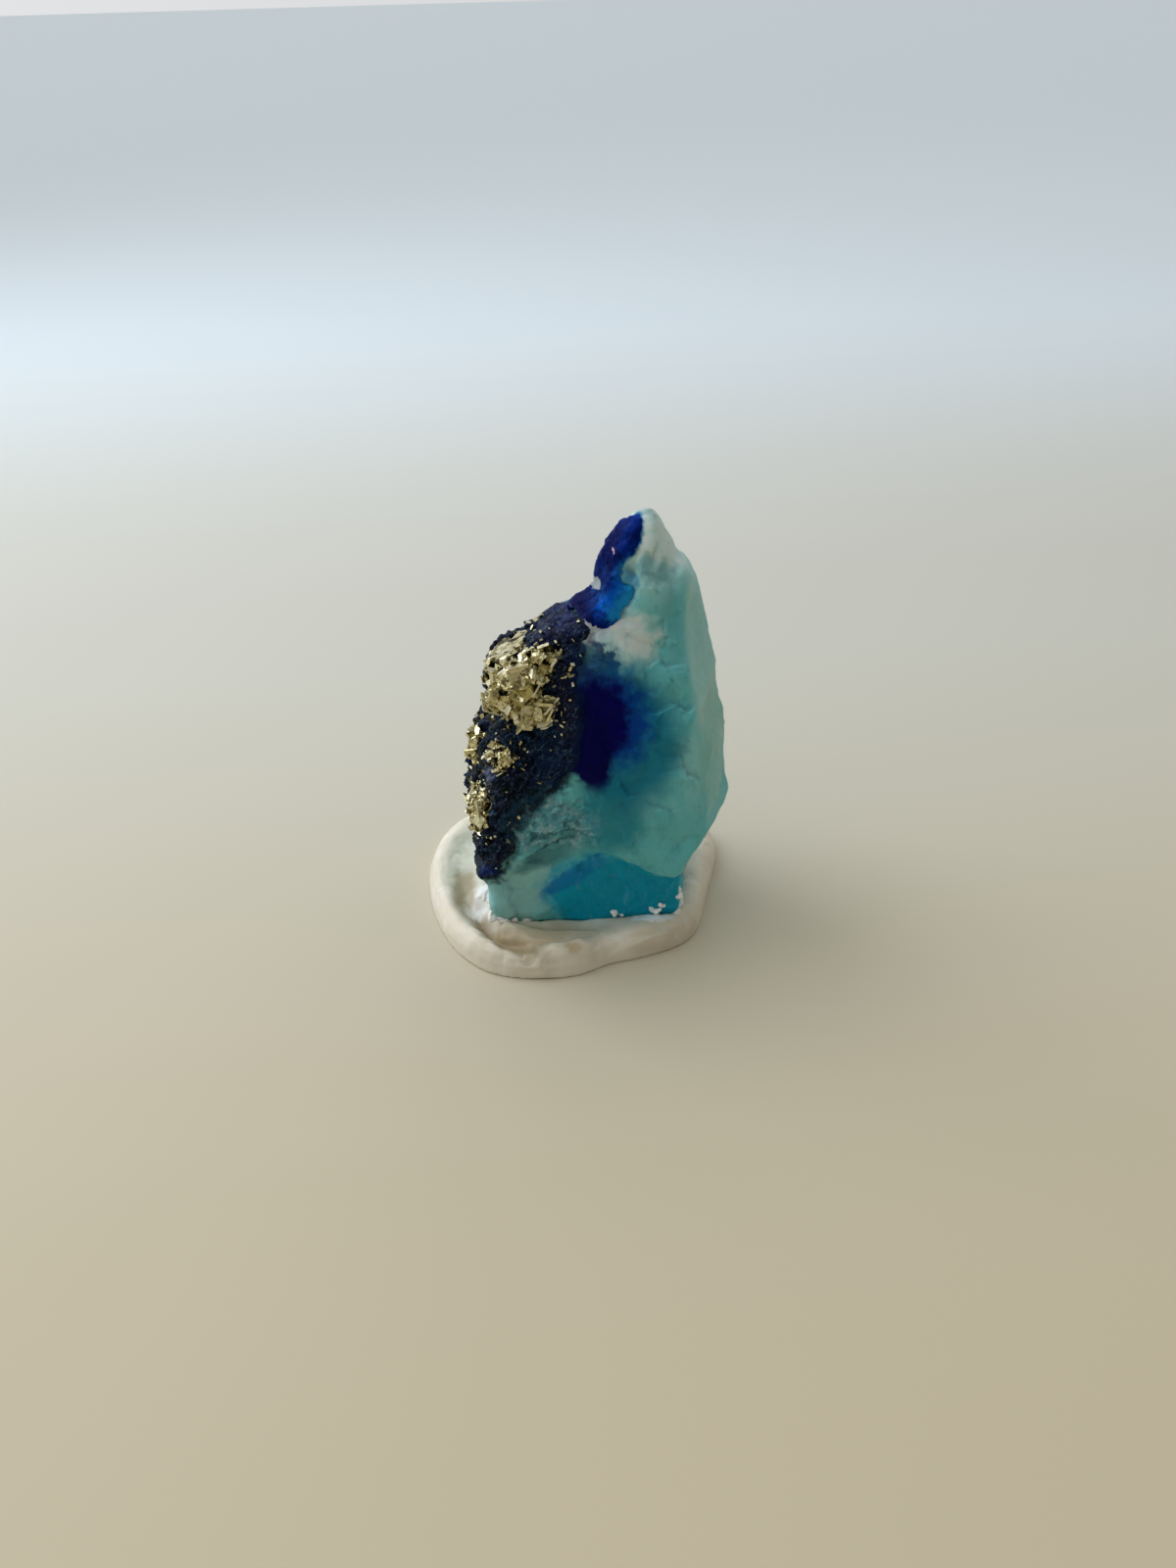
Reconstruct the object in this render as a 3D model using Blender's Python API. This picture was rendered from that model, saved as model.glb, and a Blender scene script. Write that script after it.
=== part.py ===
"""Afghanite specimen: blue afghanite in pale calcite with a dark pyrite-bearing matrix, stood in putty.

Sizes are in millimetres here and turned to metres as each mesh is made. X runs to the right, Y away
from the viewer and Z up. The origin is at the middle of the specimen's box, on the surface it stands on.
"""

import math
import random
from dataclasses import dataclass

import bmesh
import bpy
from mathutils import Euler, Matrix, Vector, noise
from mathutils.bvhtree import BVHTree

MM = 0.001

# Driving dimensions of the stone. The side ridges run up it on the plane Y = RIDGE_Y.
STONE_TOP = 40.5
STONE_BOTTOM = 1.3
RIDGE_Y = -1.5
CORNER_SHARE = 0.62
FOOT_CORNER_SHARE = 0.9
CORNER_JITTER = 0.28
STONE_SEED = 21

# Driving dimensions of the putty: the crown of its rolled rim, the pad inside it and the rim's profile.
PUTTY_CROWN = 2.7
PUTTY_PAD = 1.9
ROLL_HALF_WIDTH = 1.5
ROLL_FALL = 3.0
CROWN_WAVE = 0.5
CROWN_WAVELENGTH = 5.0
OUTLINE_STEPS = 3
RING_DEPTHS = (0.0, 0.18, 0.6, 1.2, 1.9, 2.6, 3.3, 4.0, 5.0, 6.4, 8.4)

# The thumb groove inside the rim: how deep, how far in, how wide, and the heading it is centred on
# (degrees from +X towards +Y) with the sweep over which it fades.
GROOVE_DEPTH = 0.75
GROOVE_PLACE = 3.3
GROOVE_WIDTH = 0.9
GROOVE_HEADING = 222.0
GROOVE_SWEEP = 46.0

# Gaps between neighbouring solids.
MINERAL_GAP = 0.3
PUTTY_GAP = 0.4

# Grain of the skins that chunks are grown together with, and the triangles left on each solid.
STONE_GRAIN = 0.36
CUT_GRAIN = 0.3
ZONE_GRAIN = 0.6
CRYSTAL_GRAIN = 0.25
SOCKET_GRAIN = 0.5
CALCITE_TRIANGLES = 3100
MATRIX_TRIANGLES = 2200
AFGHANITE_TRIANGLES = 440
SOCKET_TRIANGLES = 420

# Relief of the worn skins, each as (size of a lump, how far it stands out).
BROAD_WEAR = (4.6, 0.44)
FINE_WEAR = (1.9, 0.2)
MATRIX_LUMPS = (1.5, 0.55)
MATRIX_PITS = (0.8, 0.2)
MATRIX_RISE = 0.15
BORDER_LUMPS = 2.2
WEAR_STEPS = 5
SHARP_ANGLE = math.radians(40)

# How near the crystals of a cluster sit to one another, in shares of their size.
CRYSTAL_SPREAD = 0.5
CRYSTAL_REACH = 0.64
CRYSTAL_TRIES = 4000


@dataclass(frozen=True)
class Finish:
    """A material's colour, roughness and metallic value."""

    colour: tuple[float, float, float]
    roughness: float
    metallic: float = 0.0


@dataclass(frozen=True)
class Zone:
    """Where one darker mineral lies: its outline (x, z) on the upright plane Y = face.

    Going back from there it leans to the left by its slant, in mm per mm. Its border with the
    calcite is uneven by the roughness.
    """

    outline: tuple[tuple[float, float], ...]
    face: float
    slant: float
    roughness: float


@dataclass(frozen=True)
class Cluster:
    """A patch of pyrite: the headings round the stone (0 front, 90 left) and the heights it spans."""

    heading: tuple[float, float]
    height: tuple[float, float]
    count: int
    size: tuple[float, float]
    seed: int


FINISHES = {
    "calcite": Finish((0.42, 0.66, 0.64), 0.42),
    "afghanite": Finish((0.01, 0.05, 0.36), 0.32),
    "matrix": Finish((0.03, 0.04, 0.09), 0.6),
    "pyrite": Finish((0.58, 0.52, 0.34), 0.28, 1.0),
    "putty": Finish((0.80, 0.78, 0.73), 0.65),
}

# Each shard is one convex chunk of the stone, given by level sections from top to bottom:
# height, left, right, front, back. The chunks overlap and are grown together afterwards.
SHARDS = {
    "tip": [
        (STONE_TOP, 6.6, 7.9, -2.9, -1.6),
        (39.5, 5.3, 8.6, -3.6, -0.9),
        (37.5, 3.8, 9.6, -4.5, 0.0),
        (34.6, 2.3, 10.4, -5.4, 1.0),
        (30.0, 1.6, 10.4, -6.2, 2.0),
    ],
    "shoulder": [
        (36.4, 7.2, 10.8, -4.4, -0.2),
        (35.0, 3.4, 11.5, -5.2, 0.8),
        (31.0, 0.8, 12.5, -6.3, 2.6),
        (27.0, -1.0, 12.9, -7.2, 4.0),
        (21.0, -2.0, 12.6, -8.0, 5.0),
    ],
    "flank": [
        (27.2, 0.0, 12.9, -7.0, 4.0),
        (23.4, -2.0, 14.2, -7.9, 5.0),
        (19.0, -3.0, 14.4, -8.6, 5.6),
        (13.0, -2.4, 14.7, -9.3, 5.4),
        (10.4, 1.8, 13.9, -9.7, 4.4),
        (8.8, 4.8, 11.9, -9.7, 2.4),
        (7.8, 7.2, 10.2, -9.2, 0.5),
    ],
    "crest": [
        (33.3, 1.4, 7.0, -5.0, -0.8),
        (31.5, -1.2, 8.0, -5.8, 0.2),
        (29.0, -4.6, 8.0, -6.6, 1.4),
        (24.0, -6.0, 8.0, -7.8, 3.4),
    ],
    "cheek": [
        (28.8, -5.7, 5.0, -6.4, 0.6),
        (26.4, -7.6, 5.0, -7.2, 2.0),
        (22.6, -8.4, 6.0, -8.2, 3.8),
        (18.4, -9.4, 6.0, -8.8, 5.0),
        (13.8, -10.0, 2.6, -9.2, 5.4),
        (10.8, -10.0, -1.8, -9.2, 4.6),
    ],
    "jowl": [
        (14.0, -10.0, 0.0, -9.2, 5.0),
        (10.6, -9.9, -2.2, -9.1, 4.2),
        (8.0, -9.1, -4.6, -8.6, 2.6),
        (6.4, -8.6, -6.2, -7.6, 1.2),
    ],
    "foot": [
        (15.0, -5.0, 10.0, -8.0, 4.4),
        (8.0, -8.2, 10.6, -8.2, 4.2),
        (3.4, -8.0, 10.9, -8.1, 3.6),
        (STONE_BOTTOM, -7.0, 10.5, -7.8, 3.0),
    ],
    "spine": [
        (33.4, 2.6, 9.8, -2.0, 3.0),
        (27.0, 0.6, 11.4, -2.0, 5.4),
        (18.0, -1.6, 10.0, -2.0, 7.1),
        (9.4, -0.4, 8.6, -2.0, 6.4),
        (6.0, 1.4, 7.4, -2.0, 5.0),
    ],
    "heel": [
        (13.0, -8.6, 1.4, -3.0, 5.8),
        (8.4, -9.2, 3.4, -3.0, 6.6),
        (4.0, -7.8, 4.2, -3.0, 5.6),
        (2.6, -6.4, 3.0, -3.0, 4.4),
    ],
}

MATRIX_ZONE = Zone(
    outline=(
        (-16.0, 34.4),
        (4.6, 34.4),
        (2.7, 32.5),
        (2.4, 30.3),
        (1.5, 27.2),
        (1.0, 23.7),
        (0.6, 20.0),
        (-1.9, 18.2),
        (-2.8, 16.8),
        (-4.4, 15.6),
        (-5.8, 13.2),
        (-6.7, 10.2),
        (-7.6, 7.8),
        (-16.0, 7.0),
    ),
    face=-7.5,
    slant=0.45,
    roughness=0.9,
)
CREST_ZONE = Zone(
    outline=(
        (-10.0, 34.4),
        (-10.0, 44.0),
        (5.5, 44.0),
        (7.3, 40.8),
        (6.6, 38.2),
        (5.1, 36.0),
        (5.5, 34.9),
        (4.0, 32.4),
        (1.9, 31.5),
        (1.5, 33.2),
        (2.4, 34.2),
    ),
    face=-4.5,
    slant=0.4,
    roughness=0.5,
)
ZONE_FRONT = -16.0
ZONE_BACK = 14.0

CLUSTERS = {
    "pyrite_upper_cluster": Cluster((12, 80), (24.0, 30.8), count=38, size=(1.2, 2.2), seed=6),
    "pyrite_edge_band": Cluster((66, 84), (17.6, 22.4), count=13, size=(0.8, 1.3), seed=8),
    "pyrite_middle_cluster": Cluster((34, 50), (19.6, 21.4), count=8, size=(0.8, 1.3), seed=5),
    "pyrite_lower_cluster": Cluster((46, 76), (12.4, 16.2), count=16, size=(0.9, 1.5), seed=12),
}

# The putty's outline (x, y) on the surface it stands on, joined by a smooth curve.
PUTTY_OUTLINE = [
    (14.8, 3.4),
    (13.3, -2.6),
    (11.9, -7.7),
    (10.0, -10.0),
    (6.5, -11.5),
    (3.1, -12.4),
    (0.4, -13.7),
    (-3.6, -14.1),
    (-7.9, -13.1),
    (-11.0, -10.4),
    (-13.2, -6.4),
    (-14.6, -1.6),
    (-14.9, 3.0),
    (-13.5, 7.8),
    (-10.4, 11.2),
    (-5.6, 13.4),
    (0.4, 14.0),
    (6.6, 13.2),
    (11.6, 10.4),
    (14.4, 7.0),
]

# Lumps pressed up out of the putty: x, y, radius, height.
PUTTY_LUMPS = [
    (-9.3, -4.2, 0.9, 1.3),
    (0.1, -12.3, 0.8, 0.45),
    (-11.6, 5.2, 1.6, 0.5),
    (6.8, 9.6, 2.0, 0.6),
]


def clear_scene():
    """Remove whatever the file opens with."""
    for obj in list(bpy.data.objects):
        bpy.data.objects.remove(obj, do_unlink=True)


def make_material(name):
    """A Principled material with one of the finishes."""
    finish = FINISHES[name]
    material = bpy.data.materials.new(name)
    material.use_nodes = True
    shader = material.node_tree.nodes["Principled BSDF"]
    shader.inputs["Base Color"].default_value = (*finish.colour, 1.0)
    shader.inputs["Roughness"].default_value = finish.roughness
    shader.inputs["Metallic"].default_value = finish.metallic
    return material


def add_helper(name, mesh):
    """Link a mesh as an object that is left out of the render until it is finished."""
    obj = bpy.data.objects.new(name, mesh)
    bpy.context.scene.collection.objects.link(obj)
    obj.hide_render = True
    obj.display_type = "WIRE"
    return obj


def mesh_from(name, work):
    """Turn a bmesh in millimetres into a mesh in metres with its faces pointing out."""
    bmesh.ops.recalc_face_normals(work, faces=work.faces)
    bmesh.ops.scale(work, verts=work.verts, vec=(MM, MM, MM))
    mesh = bpy.data.meshes.new(name)
    work.to_mesh(mesh)
    work.free()
    return mesh


def settle(obj):
    """Bake an object's modifiers into its own mesh."""
    graph = bpy.context.evaluated_depsgraph_get()
    mesh = bpy.data.meshes.new_from_object(obj.evaluated_get(graph))
    obj.modifiers.clear()
    obj.data = mesh
    return obj


def remesh(obj, grain):
    """Grow all overlapping chunks of an object into one skin of even faces."""
    modifier = obj.modifiers.new("grown_together", "REMESH")
    modifier.mode = "VOXEL"
    modifier.voxel_size = grain * MM
    return settle(obj)


def combine(obj, other, operation):
    """Cut, join or intersect an object with another and bake the result."""
    modifier = obj.modifiers.new(operation.lower(), "BOOLEAN")
    modifier.object = other
    modifier.operation = operation
    modifier.solver = "EXACT"
    return settle(obj)


def thin_out(obj, triangles):
    """Collapse flat stretches until about this many triangles are left."""
    obj.data.calc_loop_triangles()
    modifier = obj.modifiers.new("thinned", "DECIMATE")
    modifier.ratio = min(1.0, triangles / len(obj.data.loop_triangles))
    modifier.use_collapse_triangulate = True
    return settle(obj)


def displace(obj, distance):
    """Move every point along its normal by distance(point), both in millimetres."""
    mesh = obj.data
    normals = [vertex.normal.copy() for vertex in mesh.vertices]
    for vertex, normal in zip(mesh.vertices, normals):
        vertex.co += normal * distance(vertex.co / MM) * MM
    mesh.update()
    return obj


def copy_of(obj, name):
    """A helper copy of an object, to be cut on its own."""
    return add_helper(name, obj.data.copy())


def swollen(obj, name, grain, gap):
    """A closed copy of an object, larger by the gap on every side, to cut its neighbours with."""
    copy = copy_of(obj, name)
    remesh(copy, grain)
    displace(copy, lambda point: gap)
    return remesh(copy, grain)


def lumps(point, relief):
    """The height of one layer of relief at a point."""
    size, height = relief
    return noise.noise(point / size) * height


def keep_largest(obj):
    """Drop the crumbs that a cut leaves loose and keep the one large body."""
    work = bmesh.new()
    work.from_mesh(obj.data)
    left = set(work.faces)
    bodies = []
    while left:
        body = []
        front = [left.pop()]
        while front:
            face = front.pop()
            body.append(face)
            beside = {other for edge in face.edges for other in edge.link_faces} & left
            left -= beside
            front.extend(beside)
        bodies.append(body)
    bodies.sort(key=len)
    crumbs = [face for body in bodies[:-1] for face in body]
    bmesh.ops.delete(work, geom=crumbs, context="FACES")
    loose = [vertex for vertex in work.verts if not vertex.link_faces]
    bmesh.ops.delete(work, geom=loose, context="VERTS")
    work.to_mesh(obj.data)
    work.free()
    return obj


def section(height, left, right, front, back, share):
    """Six corners of a level section: a ridge on each side and a flatter front and back."""
    middle = (left + right) / 2
    half = (right - left) / 2 * share
    ridge = max(min(RIDGE_Y, back - 0.3), front + 0.3)
    return [
        (left, ridge, height),
        (middle - half, front, height),
        (middle + half, front, height),
        (right, ridge, height),
        (middle + half, back, height),
        (middle - half, back, height),
    ]


def add_shard(work, sections, share, rng):
    """Add one convex chunk: the hull of its sections, with the corners a little uneven."""
    points = []
    for level in sections:
        for corner in section(*level, share):
            shift = Vector([rng.uniform(-CORNER_JITTER, CORNER_JITTER) for _ in range(3)])
            if level[0] in (STONE_TOP, STONE_BOTTOM):
                shift.z = 0.0
            points.append(work.verts.new(Vector(corner) + shift))
    bmesh.ops.convex_hull(work, input=points, use_existing_faces=False)
    loose = [vertex for vertex in work.verts if not vertex.link_faces]
    bmesh.ops.delete(work, geom=loose, context="VERTS")


def weathering(point):
    """How far the stone stands out at a point: broad swells and finer lumps, none on its underside."""
    height = lumps(point, BROAD_WEAR) + lumps(point + Vector((13.3, 5.7, 1.9)), FINE_WEAR)
    settled = min(1.0, max(0.0, (point.z - STONE_BOTTOM - 0.2) / 1.5))
    return height * settled


def matrix_relief(point):
    """The matrix is rougher than the calcite: lumps and pits a millimetre or two across."""
    return lumps(point + Vector((3.0, 13.5, 6.0)), MATRIX_LUMPS) + lumps(point, MATRIX_PITS) + MATRIX_RISE


def build_stone():
    """The whole stone as one skin, before its minerals are parted."""
    rng = random.Random(STONE_SEED)
    work = bmesh.new()
    for name, sections in SHARDS.items():
        add_shard(work, sections, FOOT_CORNER_SHARE if name == "foot" else CORNER_SHARE, rng)
    stone = add_helper("whole_stone", mesh_from("whole_stone", work))
    remesh(stone, STONE_GRAIN)
    worn = stone.modifiers.new("worn", "SMOOTH")
    worn.factor = 0.5
    worn.iterations = WEAR_STEPS
    settle(stone)
    return displace(stone, weathering)


def build_zone(name, zone):
    """A closed block that covers one mineral: its outline, carried forwards and back at a slant."""
    work = bmesh.new()
    rims = []
    for y in (ZONE_FRONT, ZONE_BACK):
        lean = zone.slant * (y - zone.face)
        rims.append([work.verts.new((x - lean, y, z)) for x, z in zone.outline])
    front, back = rims
    work.faces.new(front)
    work.faces.new(list(reversed(back)))
    for i, start in enumerate(front):
        j = (i + 1) % len(front)
        work.faces.new((start, back[i], back[j], front[j]))
    block = add_helper(name, mesh_from(name, work))
    remesh(block, ZONE_GRAIN)
    return displace(block, lambda point: lumps(point, (BORDER_LUMPS, zone.roughness)))


def surface_point(tree, heading, height):
    """The stone's surface where a level line from this heading to its axis meets it."""
    angle = math.radians(heading)
    outward = Vector((-math.sin(angle), -math.cos(angle), 0.0))
    axis = Vector((0.0, RIDGE_Y, height))
    place, _, _, _ = tree.ray_cast((axis + outward * 30) * MM, -outward)
    return place / MM


def crystal_places(tree, plan, rng):
    """Where the crystals of a cluster sit: each touches one before it, and none hides another."""
    middle = surface_point(tree, sum(plan.heading) / 2, sum(plan.height) / 2)
    places = [(middle, sum(plan.size) / 2)]
    for _ in range(CRYSTAL_TRIES):
        if len(places) == plan.count:
            break
        place = surface_point(tree, rng.uniform(*plan.heading), rng.uniform(*plan.height))
        size = rng.uniform(*plan.size)
        near = min((place - other).length / min(size, other_size) for other, other_size in places)
        if CRYSTAL_SPREAD < near < CRYSTAL_REACH:
            places.append((place, size))
    return places


def make_crystal(name, centre, size, rng):
    """One pyrite cube, stretched and tilted, half sunk in what it grows on."""
    work = bmesh.new()
    turn = Euler([rng.uniform(0, math.pi) for _ in range(3)]).to_matrix().to_4x4()
    stretch = Vector([size * rng.uniform(0.6, 1.0) for _ in range(3)])
    bmesh.ops.create_cube(work, size=1.0)
    bmesh.ops.scale(work, verts=work.verts, vec=stretch)
    bmesh.ops.transform(work, matrix=turn, verts=work.verts)
    bmesh.ops.translate(work, verts=work.verts, vec=centre)
    return add_helper(name, mesh_from(name, work))


def build_cluster(name, tree, plan):
    """A pyrite cluster: intergrown cubes over a patch of the matrix, fused into one solid."""
    rng = random.Random(plan.seed)
    places = crystal_places(tree, plan, rng)
    crystals = [make_crystal(f"{name}_{i}", *place, rng) for i, place in enumerate(places)]
    cluster = crystals[0]
    for crystal in crystals[1:]:
        combine(cluster, crystal, "UNION")
        bpy.data.objects.remove(crystal, do_unlink=True)
    return keep_largest(cluster)


def smooth_outline(points, steps):
    """A closed curve through the points, with this many steps from each one to the next."""
    curve = []
    for i in range(len(points)):
        before, start, end, after = (Vector(points[(i + k) % len(points)]) for k in (-1, 0, 1, 2))
        slope = end - before
        bend = 2 * before - 5 * start + 4 * end - after
        twist = 3 * start - before - 3 * end + after
        for step in range(steps):
            t = step / steps
            curve.append(start + (slope * t + bend * t**2 + twist * t**3) / 2)
    return curve


def putty_height(place, depth):
    """How high the putty stands at a place this far in from its edge: a rolled rim, then a pad."""
    crown = PUTTY_CROWN + lumps(place.to_3d(), (CROWN_WAVELENGTH, CROWN_WAVE))
    if depth < ROLL_HALF_WIDTH:
        return crown * math.sqrt(1 - (1 - depth / ROLL_HALF_WIDTH) ** 2)
    fall = min(1.0, (depth - ROLL_HALF_WIDTH) / ROLL_FALL)
    height = crown + (PUTTY_PAD - crown) * fall**2 * (3 - 2 * fall)
    heading = math.degrees(math.atan2(place.y, place.x)) % 360
    share = math.exp(-(((heading - GROOVE_HEADING) / GROOVE_SWEEP) ** 2))
    height -= GROOVE_DEPTH * share * math.exp(-(((depth - GROOVE_PLACE) / GROOVE_WIDTH) ** 2))
    for x, y, radius, lift in PUTTY_LUMPS:
        height += lift * math.exp(-(place - Vector((x, y))).length_squared / radius**2)
    return height


def build_putty():
    """The putty the stone is pressed into: a flat underside and a thumb-pressed top."""
    outline = smooth_outline(PUTTY_OUTLINE, OUTLINE_STEPS)
    work = bmesh.new()
    rings = []
    for depth in RING_DEPTHS:
        places = [edge * (1 - depth / edge.length) for edge in outline]
        rings.append([work.verts.new((*place, putty_height(place, depth))) for place in places])
    centre = work.verts.new((0.0, 0.0, PUTTY_PAD))
    work.faces.new(list(reversed(rings[0])))
    for i in range(len(outline)):
        j = (i + 1) % len(outline)
        for outer, inner in zip(rings, rings[1:]):
            work.faces.new((outer[i], outer[j], inner[j], inner[i]))
        work.faces.new((rings[-1][i], rings[-1][j], centre))
    return add_helper("putty", mesh_from("putty", work))


def part_from(obj, rooms):
    """Cut the room that each neighbour needs out of a mineral, and even out its skin again."""
    for room in rooms:
        combine(obj, room, "DIFFERENCE")
    return remesh(obj, CUT_GRAIN)


def finish_node(obj, name, material_name, smooth=True):
    """Name a solid, show it and give it its own material."""
    obj.name = name
    obj.hide_render = False
    obj.display_type = "TEXTURED"
    obj.data.materials.clear()
    obj.data.materials.append(make_material(material_name))
    if smooth:
        obj.data.shade_smooth()
        obj.data.set_sharp_from_angle(angle=SHARP_ANGLE)
    return obj


def centre_on_origin(nodes):
    """Move the nodes together so that the middle of their box, at its bottom, is the origin."""
    corners = [Vector(corner) for node in nodes for corner in node.bound_box]
    low = Vector([min(corner[i] for corner in corners) for i in range(3)])
    high = Vector([max(corner[i] for corner in corners) for i in range(3)])
    shift = Vector((-(low.x + high.x) / 2, -(low.y + high.y) / 2, -low.z))
    for node in nodes:
        node.data.transform(Matrix.Translation(shift))


def main():
    """Build the stone, part its minerals, grow the pyrite and press the stone into the putty."""
    clear_scene()
    calcite = build_stone()
    matrix = displace(copy_of(calcite, "rough_stone"), matrix_relief)
    tree = BVHTree.FromObject(matrix, bpy.context.evaluated_depsgraph_get())
    clusters = {name: build_cluster(name, tree, plan) for name, plan in CLUSTERS.items()}

    matrix_zone = build_zone("matrix_zone", MATRIX_ZONE)
    crest_zone = build_zone("crest_zone", CREST_ZONE)
    matrix_room = swollen(matrix_zone, "matrix_room", ZONE_GRAIN, MINERAL_GAP)
    crest_room = swollen(crest_zone, "crest_room", ZONE_GRAIN, MINERAL_GAP)
    cluster_rooms = [
        swollen(cluster, f"{name}_room", CRYSTAL_GRAIN, MINERAL_GAP) for name, cluster in clusters.items()
    ]

    crest = combine(copy_of(calcite, "crest"), crest_zone, "INTERSECT")
    remesh(crest, CUT_GRAIN)
    combine(matrix, matrix_zone, "INTERSECT")
    part_from(matrix, [crest_room])
    part_from(matrix, cluster_rooms)
    part_from(calcite, [matrix_room, crest_room])
    part_from(calcite, cluster_rooms)
    thin_out(keep_largest(crest), AFGHANITE_TRIANGLES)
    thin_out(keep_largest(matrix), MATRIX_TRIANGLES)
    thin_out(keep_largest(calcite), CALCITE_TRIANGLES)

    putty = build_putty()
    socket = thin_out(swollen(calcite, "socket", SOCKET_GRAIN, PUTTY_GAP), SOCKET_TRIANGLES)
    combine(putty, socket, "DIFFERENCE")

    nodes = [
        finish_node(calcite, "calcite_body", "calcite"),
        finish_node(crest, "afghanite_crest", "afghanite"),
        finish_node(matrix, "dark_matrix", "matrix"),
        finish_node(putty, "putty_base", "putty"),
    ]
    for name, cluster in clusters.items():
        nodes.append(finish_node(cluster, name, "pyrite", smooth=False))
    centre_on_origin(nodes)


if __name__ == "__main__":
    main()
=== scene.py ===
"""Looks of an afghanite specimen: blue afghanite in pale calcite, dark crust, pyrite and a putty stand.

Sizes are in millimetres and become metres through MM. X runs to the right, Y away from the viewer and
Z up, as in the solids that the pieces are grown from.
"""

import logging
import math
from collections.abc import Callable, Iterable
from dataclasses import dataclass, field
from enum import Enum

import bmesh
import bpy
import numpy as np
from mathutils import Euler, Matrix, Vector, noise
from mathutils.bvhtree import BVHTree
from mathutils.kdtree import KDTree


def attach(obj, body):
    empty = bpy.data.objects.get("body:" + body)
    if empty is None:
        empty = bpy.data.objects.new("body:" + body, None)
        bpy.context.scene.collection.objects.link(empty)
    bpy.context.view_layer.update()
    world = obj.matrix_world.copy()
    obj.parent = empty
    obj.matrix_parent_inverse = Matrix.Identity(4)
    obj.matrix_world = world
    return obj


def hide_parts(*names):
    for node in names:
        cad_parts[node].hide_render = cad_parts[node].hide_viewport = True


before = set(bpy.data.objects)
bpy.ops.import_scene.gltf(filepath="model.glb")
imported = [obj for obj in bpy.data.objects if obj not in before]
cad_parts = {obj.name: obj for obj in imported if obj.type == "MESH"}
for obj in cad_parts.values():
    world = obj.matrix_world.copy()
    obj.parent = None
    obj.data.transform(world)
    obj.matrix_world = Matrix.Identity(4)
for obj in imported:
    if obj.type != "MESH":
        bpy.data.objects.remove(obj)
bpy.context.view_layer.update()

LOG = logging.getLogger("specimen")
MM = 0.001
BODY = "root"
# The interpolation that eases in and out.
EASED = "SMOOTHSTEP"
# The photograph's height in pixels, which the camera's focal length is counted in.
PHOTO_HEIGHT = 1600
# Sockets of a Mix node in colour mode.
MIX_A = 6
MIX_B = 7
MIX_RESULT = 2
# Layers of finer noise in a cloud, and in fine bumps and veins.
CLOUD_DETAIL = 5.0
FINE_DETAIL = 3.0
# How far apart two seeds' patterns are picked from the same noise.
SEED_STEP = 37.7

Point = tuple[float, float, float]
Span = tuple[float, float]
Line = tuple[Span, ...]
Piece = bpy.types.Object
Socket = bpy.types.NodeSocket
# Rows of x, y and z in mm, and one number a row.
Rows = np.ndarray
Values = np.ndarray


def linear(colour: str) -> tuple[float, float, float, float]:
    """Turn an sRGB hex colour into the linear values that shaders take.

    Args:
        colour: Six hex digits after a hash sign.

    Returns:
        Red, green, blue and an alpha of 1.
    """
    levels = [int(colour[place : place + 2], 16) / 255 for place in (1, 3, 5)]
    red, green, blue = (
        level / 12.92 if level <= 0.04045 else ((level + 0.055) / 1.055) ** 2.4 for level in levels
    )
    return red, green, blue, 1.0


def add_node(
    tree: bpy.types.NodeTree, kind: str, inputs: dict | None = None, output: int | str = 0, **settings
) -> Socket | None:
    """Add one shader node with its settings, and fill its inputs with values or links.

    Args:
        tree: The tree that the node goes into.
        kind: Blender's name for the node, after "ShaderNode".
        inputs: A value or an output socket for each input, by its name or number.
        output: The output that is wanted, by its name or number.
        settings: The node's own properties.

    Returns:
        The wanted output, or None where the node has no outputs.
    """
    made = tree.nodes.new("ShaderNode" + kind)
    for name, value in settings.items():
        setattr(made, name, value)
    for key, value in (inputs or {}).items():
        if isinstance(value, Socket):
            tree.links.new(value, made.inputs[key])
        else:
            made.inputs[key].default_value = value
    return made.outputs[output] if made.outputs else None


def rise(value: Socket, start: float, end: float, first: float = 0.0, last: float = 1.0) -> dict:
    """The inputs that turn a value from start to end into one from first to last."""
    return {"Value": value, "From Min": start, "From Max": end, "To Min": first, "To Max": last}


def leaning(places: Socket, size: Point, lean: float, middle: Point = (0.0, 0.0, 0.0)) -> dict:
    """The inputs that measure places in half widths of an ellipsoid that leans about the Y axis."""
    turn = (0.0, math.radians(lean), 0.0)
    return {"Vector": places, "Location": middle, "Rotation": turn, "Scale": size}


class Edge(Enum):
    """How the border of a tinted place runs: how far it wanders, in mm, and its wander's grain."""

    SOFT = (1.3, 3.2)
    RAGGED = (1.5, 0.95)
    CRISP = (0.5, 0.7)


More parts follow.
